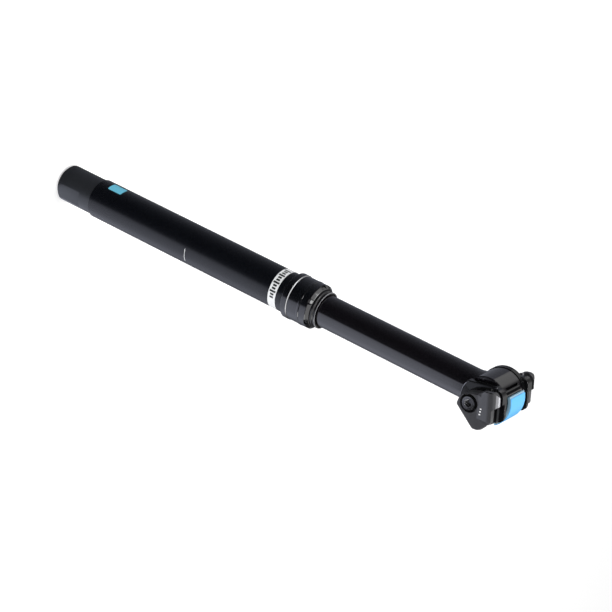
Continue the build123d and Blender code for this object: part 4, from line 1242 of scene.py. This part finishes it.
def paint_worn_highlit_edges(node, flat, nearest):
    """Faces that lean between the rim and the side, outside a distance from the barrel's axis, get worn
    metal that also paints highlights.
    """
    mesh = dressed[node].data
    mesh.materials.append(worn_highlit_edges[slot_of[node]])
    worn_and_glinting = 0
    for face in mesh.polygons:
        arm = face.center - BARREL_AXIS[0]
        # Worn metal that also paints a highlight on each leaning face
        if STEEP < abs(face.normal.y) < flat and sqrt(arm.x**2 + arm.z**2) > nearest * MM:
            face.material_index = len(mesh.materials) - 1
            worn_and_glinting += 1
    print(node, "polished faces:", worn_and_glinting, "of", len(mesh.polygons))


# %% Blast the cradle's rail channel
CHANNEL_OUT, CHANNEL_HEIGHT, CHANNEL_FLAT = 18.0, 10.0, 0.9


def blast_channel(node):
    """The cradle's rail channel keeps the blasted finish of the clamp."""
    mesh = dressed[node].data
    mesh.materials.append(finishes["clamp_grey"])
    for face in mesh.polygons:
        place = face.center - BARREL_AXIS[0]
        in_channel = abs(place.y) > CHANNEL_OUT * MM and place.z > CHANNEL_HEIGHT * MM
        if in_channel and abs(face.normal.y) < CHANNEL_FLAT:
            face.material_index = len(mesh.materials) - 1


for side in ("left", "right"):
    paint_worn_highlit_edges(side + "_cradle", TURNED_FLAT, CRADLE_RIM)
    blast_channel(side + "_cradle")
    paint_worn_highlit_edges(side + "_outer_clamp", FORGED_FLAT, PLATE_RIM)
paint_worn_highlit_edges("clamp_bolt", TURNED_FLAT, BOLT_RIM)

# %% [markdown]
# ## Painted shade on the head
# A slot in the barrel and a strip beside the grey cap are dark, because no light reaches them, and
# that shade is painted. The slot's own faces get a matt black finish by their place. The strip is a
# patch of the same matt black, like the ink on the tube, bent round the barrel instead. The bolt's
# head has a painted shade ring round a bright face. It is turned by the same tree as the wiper.


# %% Painted shade: black faces inside the slot
BARREL_RADIUS = 17.0
SLOT_ANGLE = 46.5
SLOT_HALF_LENGTH = 8.05
SLOT_HALF_ANGLE = 4.5
SLOT_FLOOR, BARREL_SKIN = 12.0, 0.1
shade_painted = 0
head_mesh = dressed["stanchion"].data
# Painted shade: the slot's faces get the matt black finish
head_mesh.materials.append(painted_shade_matt)
for face in head_mesh.polygons:
    arm = face.center - BARREL_AXIS[0]
    reach = sqrt(arm.x**2 + arm.z**2) / MM
    angle = degrees(atan2(-arm.x, arm.z))
    near_slot = abs(angle - SLOT_ANGLE) < SLOT_HALF_ANGLE and abs(arm.y) < SLOT_HALF_LENGTH * MM
    if near_slot and SLOT_FLOOR < reach < BARREL_RADIUS - BARREL_SKIN:
        face.material_index = 1
        shade_painted += 1
print("faces blackened in the slot:", shade_painted)

# %% A strip of painted shade beside the cap
ROUND_BARREL = Matrix(((0, -1, 0, 0), (0, 0, -1, 0), (1, 0, 0, BARREL_AXIS[0].z), (0, 0, 0, 1)))
low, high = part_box("head_cap")
cap_edge = degrees(asin(-low.x / MM / BARREL_RADIUS))
SHADE_STRIP_TURN = (cap_edge + 0.3, cap_edge + 7.0)
# Painted shade: a matt black strip beside the cap, where its end wall lies in shade
shade_strip = tube_patch(
    "cap_painted_shade_strip", painted_shade_matt, body_of_node["stanchion"], BARREL_RADIUS,
    heights=(low.y / MM, high.y / MM), turns=SHADE_STRIP_TURN
)
shade_strip.data.transform(ROUND_BARREL)
print("gasket from", round(cap_edge, 1), "degrees")

# %% A ring of painted shade on the bolt's head
low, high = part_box("clamp_bolt")
bolt_middle = (low + high) / 2
shade_ring_section = [(5.05, -0.05), (5.4, -0.05), (5.9, -0.55), (5.95, -0.5), (5.42, 0.04), (5.05, 0.04)]
# Painted shade: a matt black ring round the bolt's head
bolt_shade_ring = turned("bolt_head_painted_shade_ring", shade_ring_section, painted_shade_matt)
on_the_head = Matrix.Translation((bolt_middle.x, low.y, bolt_middle.z))
bolt_shade_ring.data.transform(on_the_head @ Matrix.Rotation(pi / 2, 4, "X"))
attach(bolt_shade_ring, body_of_node["clamp_bolt"])
print("bolt head at", [round(v / MM, 2) for v in (bolt_middle.x, low.y, bolt_middle.z)])

# %% [markdown]
# ## Ticks on the band
# The ticks repeat round the tube, which is what Geometry Nodes are for. A line of points is bent
# round the axis by each point's own number, and a small bar is set on each point, turned to face
# outwards. Every third bar is tall. Realize Instances makes them real, because an exporter drops
# instances.


# %% A short way to write maths nodes
def maths(tree, operation, *values):
    """Each value is a number, or a node and one of its outputs. The answer is such a pair."""
    node = add_node(tree, "ShaderNodeMath", operation=operation)
    for i, value in enumerate(values):
        if isinstance(value, tuple):
            join(tree, (*value, node, i))
        else:
            node.inputs[i].default_value = value
    return node, 0


# %% The ticks' tree
def make_tick_tree():
    tree, inp, out = new_tree(
        "band_ticks",
        ("Count", "Int", 12),
        ("Tall every", "Int", 3),
        ("Radius", "Float", 0.0158),
        ("Middle height", "Float", 0.185),
        ("First angle", "Float", 0.0),
        ("Step angle", "Float", 0.1),
        ("Width", "Float", 0.001),
        ("Short", "Float", 0.002),
        ("Tall", "Float", 0.004),
        ("Thickness", "Float", 0.0001),
        ("Material", "Material", None),
    )
    points = add_node(tree, "GeometryNodeMeshLine")
    number = (add_node(tree, "GeometryNodeInputIndex"), 0)
    angle = maths(tree, "MULTIPLY_ADD", number, (inp, "Step angle"), (inp, "First angle"))
    across = maths(tree, "MULTIPLY", (inp, "Radius"), maths(tree, "COSINE", angle))
    along = maths(tree, "MULTIPLY", (inp, "Radius"), maths(tree, "SINE", angle))
    place = add_node(tree, "ShaderNodeCombineXYZ")
    bend = add_node(tree, "GeometryNodeSetPosition")
    remainder = maths(tree, "MODULO", number, (inp, "Tall every"))
    is_tall = maths(tree, "LESS_THAN", remainder, 0.5)
    taller = maths(tree, "SUBTRACT", (inp, "Tall"), (inp, "Short"))
    height = maths(tree, "MULTIPLY_ADD", is_tall, taller, (inp, "Short"))
    size = add_node(tree, "ShaderNodeCombineXYZ")
    turn = add_node(tree, "ShaderNodeCombineXYZ")
    bar = add_node(tree, "GeometryNodeMeshCube")
    bars = add_node(tree, "GeometryNodeInstanceOnPoints")
    join(
        tree,
        (*across, place, "X"),
        (*along, place, "Y"),
        (inp, "Middle height", place, "Z"),
        (inp, "Count", points, "Count"),
        (points, "Mesh", bend, "Geometry"),
        (place, 0, bend, "Position"),
        (inp, "Thickness", size, "X"),
        (inp, "Width", size, "Y"),
        (*height, size, "Z"),
        (*angle, turn, "Z"),
        (bend, "Geometry", bars, "Points"),
        (bar, "Mesh", bars, "Instance"),
        (turn, 0, bars, "Rotation"),
        (size, 0, bars, "Scale"),
    )
    end_tree(tree, (bars, "Instances"), inp, out)
    return tree


tick_tree = make_tick_tree()
print("nodes in the ticks' tree:", len(tick_tree.nodes))

# %% Set the ticks on the band
TICK_COUNT, TALL_EVERY = 12, 3
TICK_WIDTH, TICK_SHORT, TICK_TALL, TICK_THICKNESS = 1.5, 3.2, 5.4, 0.12
FIRST_TICK, TICK_STEP = -178, 8.6
ticks = mesh_object("band_ticks", bmesh.new(), smooth=False)
run_tree(
    ticks,
    tick_tree,
    Count=TICK_COUNT,
    Tall_every=TALL_EVERY,
    Radius=TUBE_RADIUS * MM,
    Middle_height=(BAND_LOW + BAND_HIGH) / 2 * MM,
    First_angle=radians(FIRST_TICK),
    Step_angle=radians(TICK_STEP),
    Width=TICK_WIDTH * MM,
    Short=TICK_SHORT * MM,
    Tall=TICK_TALL * MM,
    Thickness=TICK_THICKNESS * MM,
    Material=inks["black_ink"],
)
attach(ticks, "post")
print("ticks:", TICK_COUNT, "faces:", len(ticks.data.polygons))
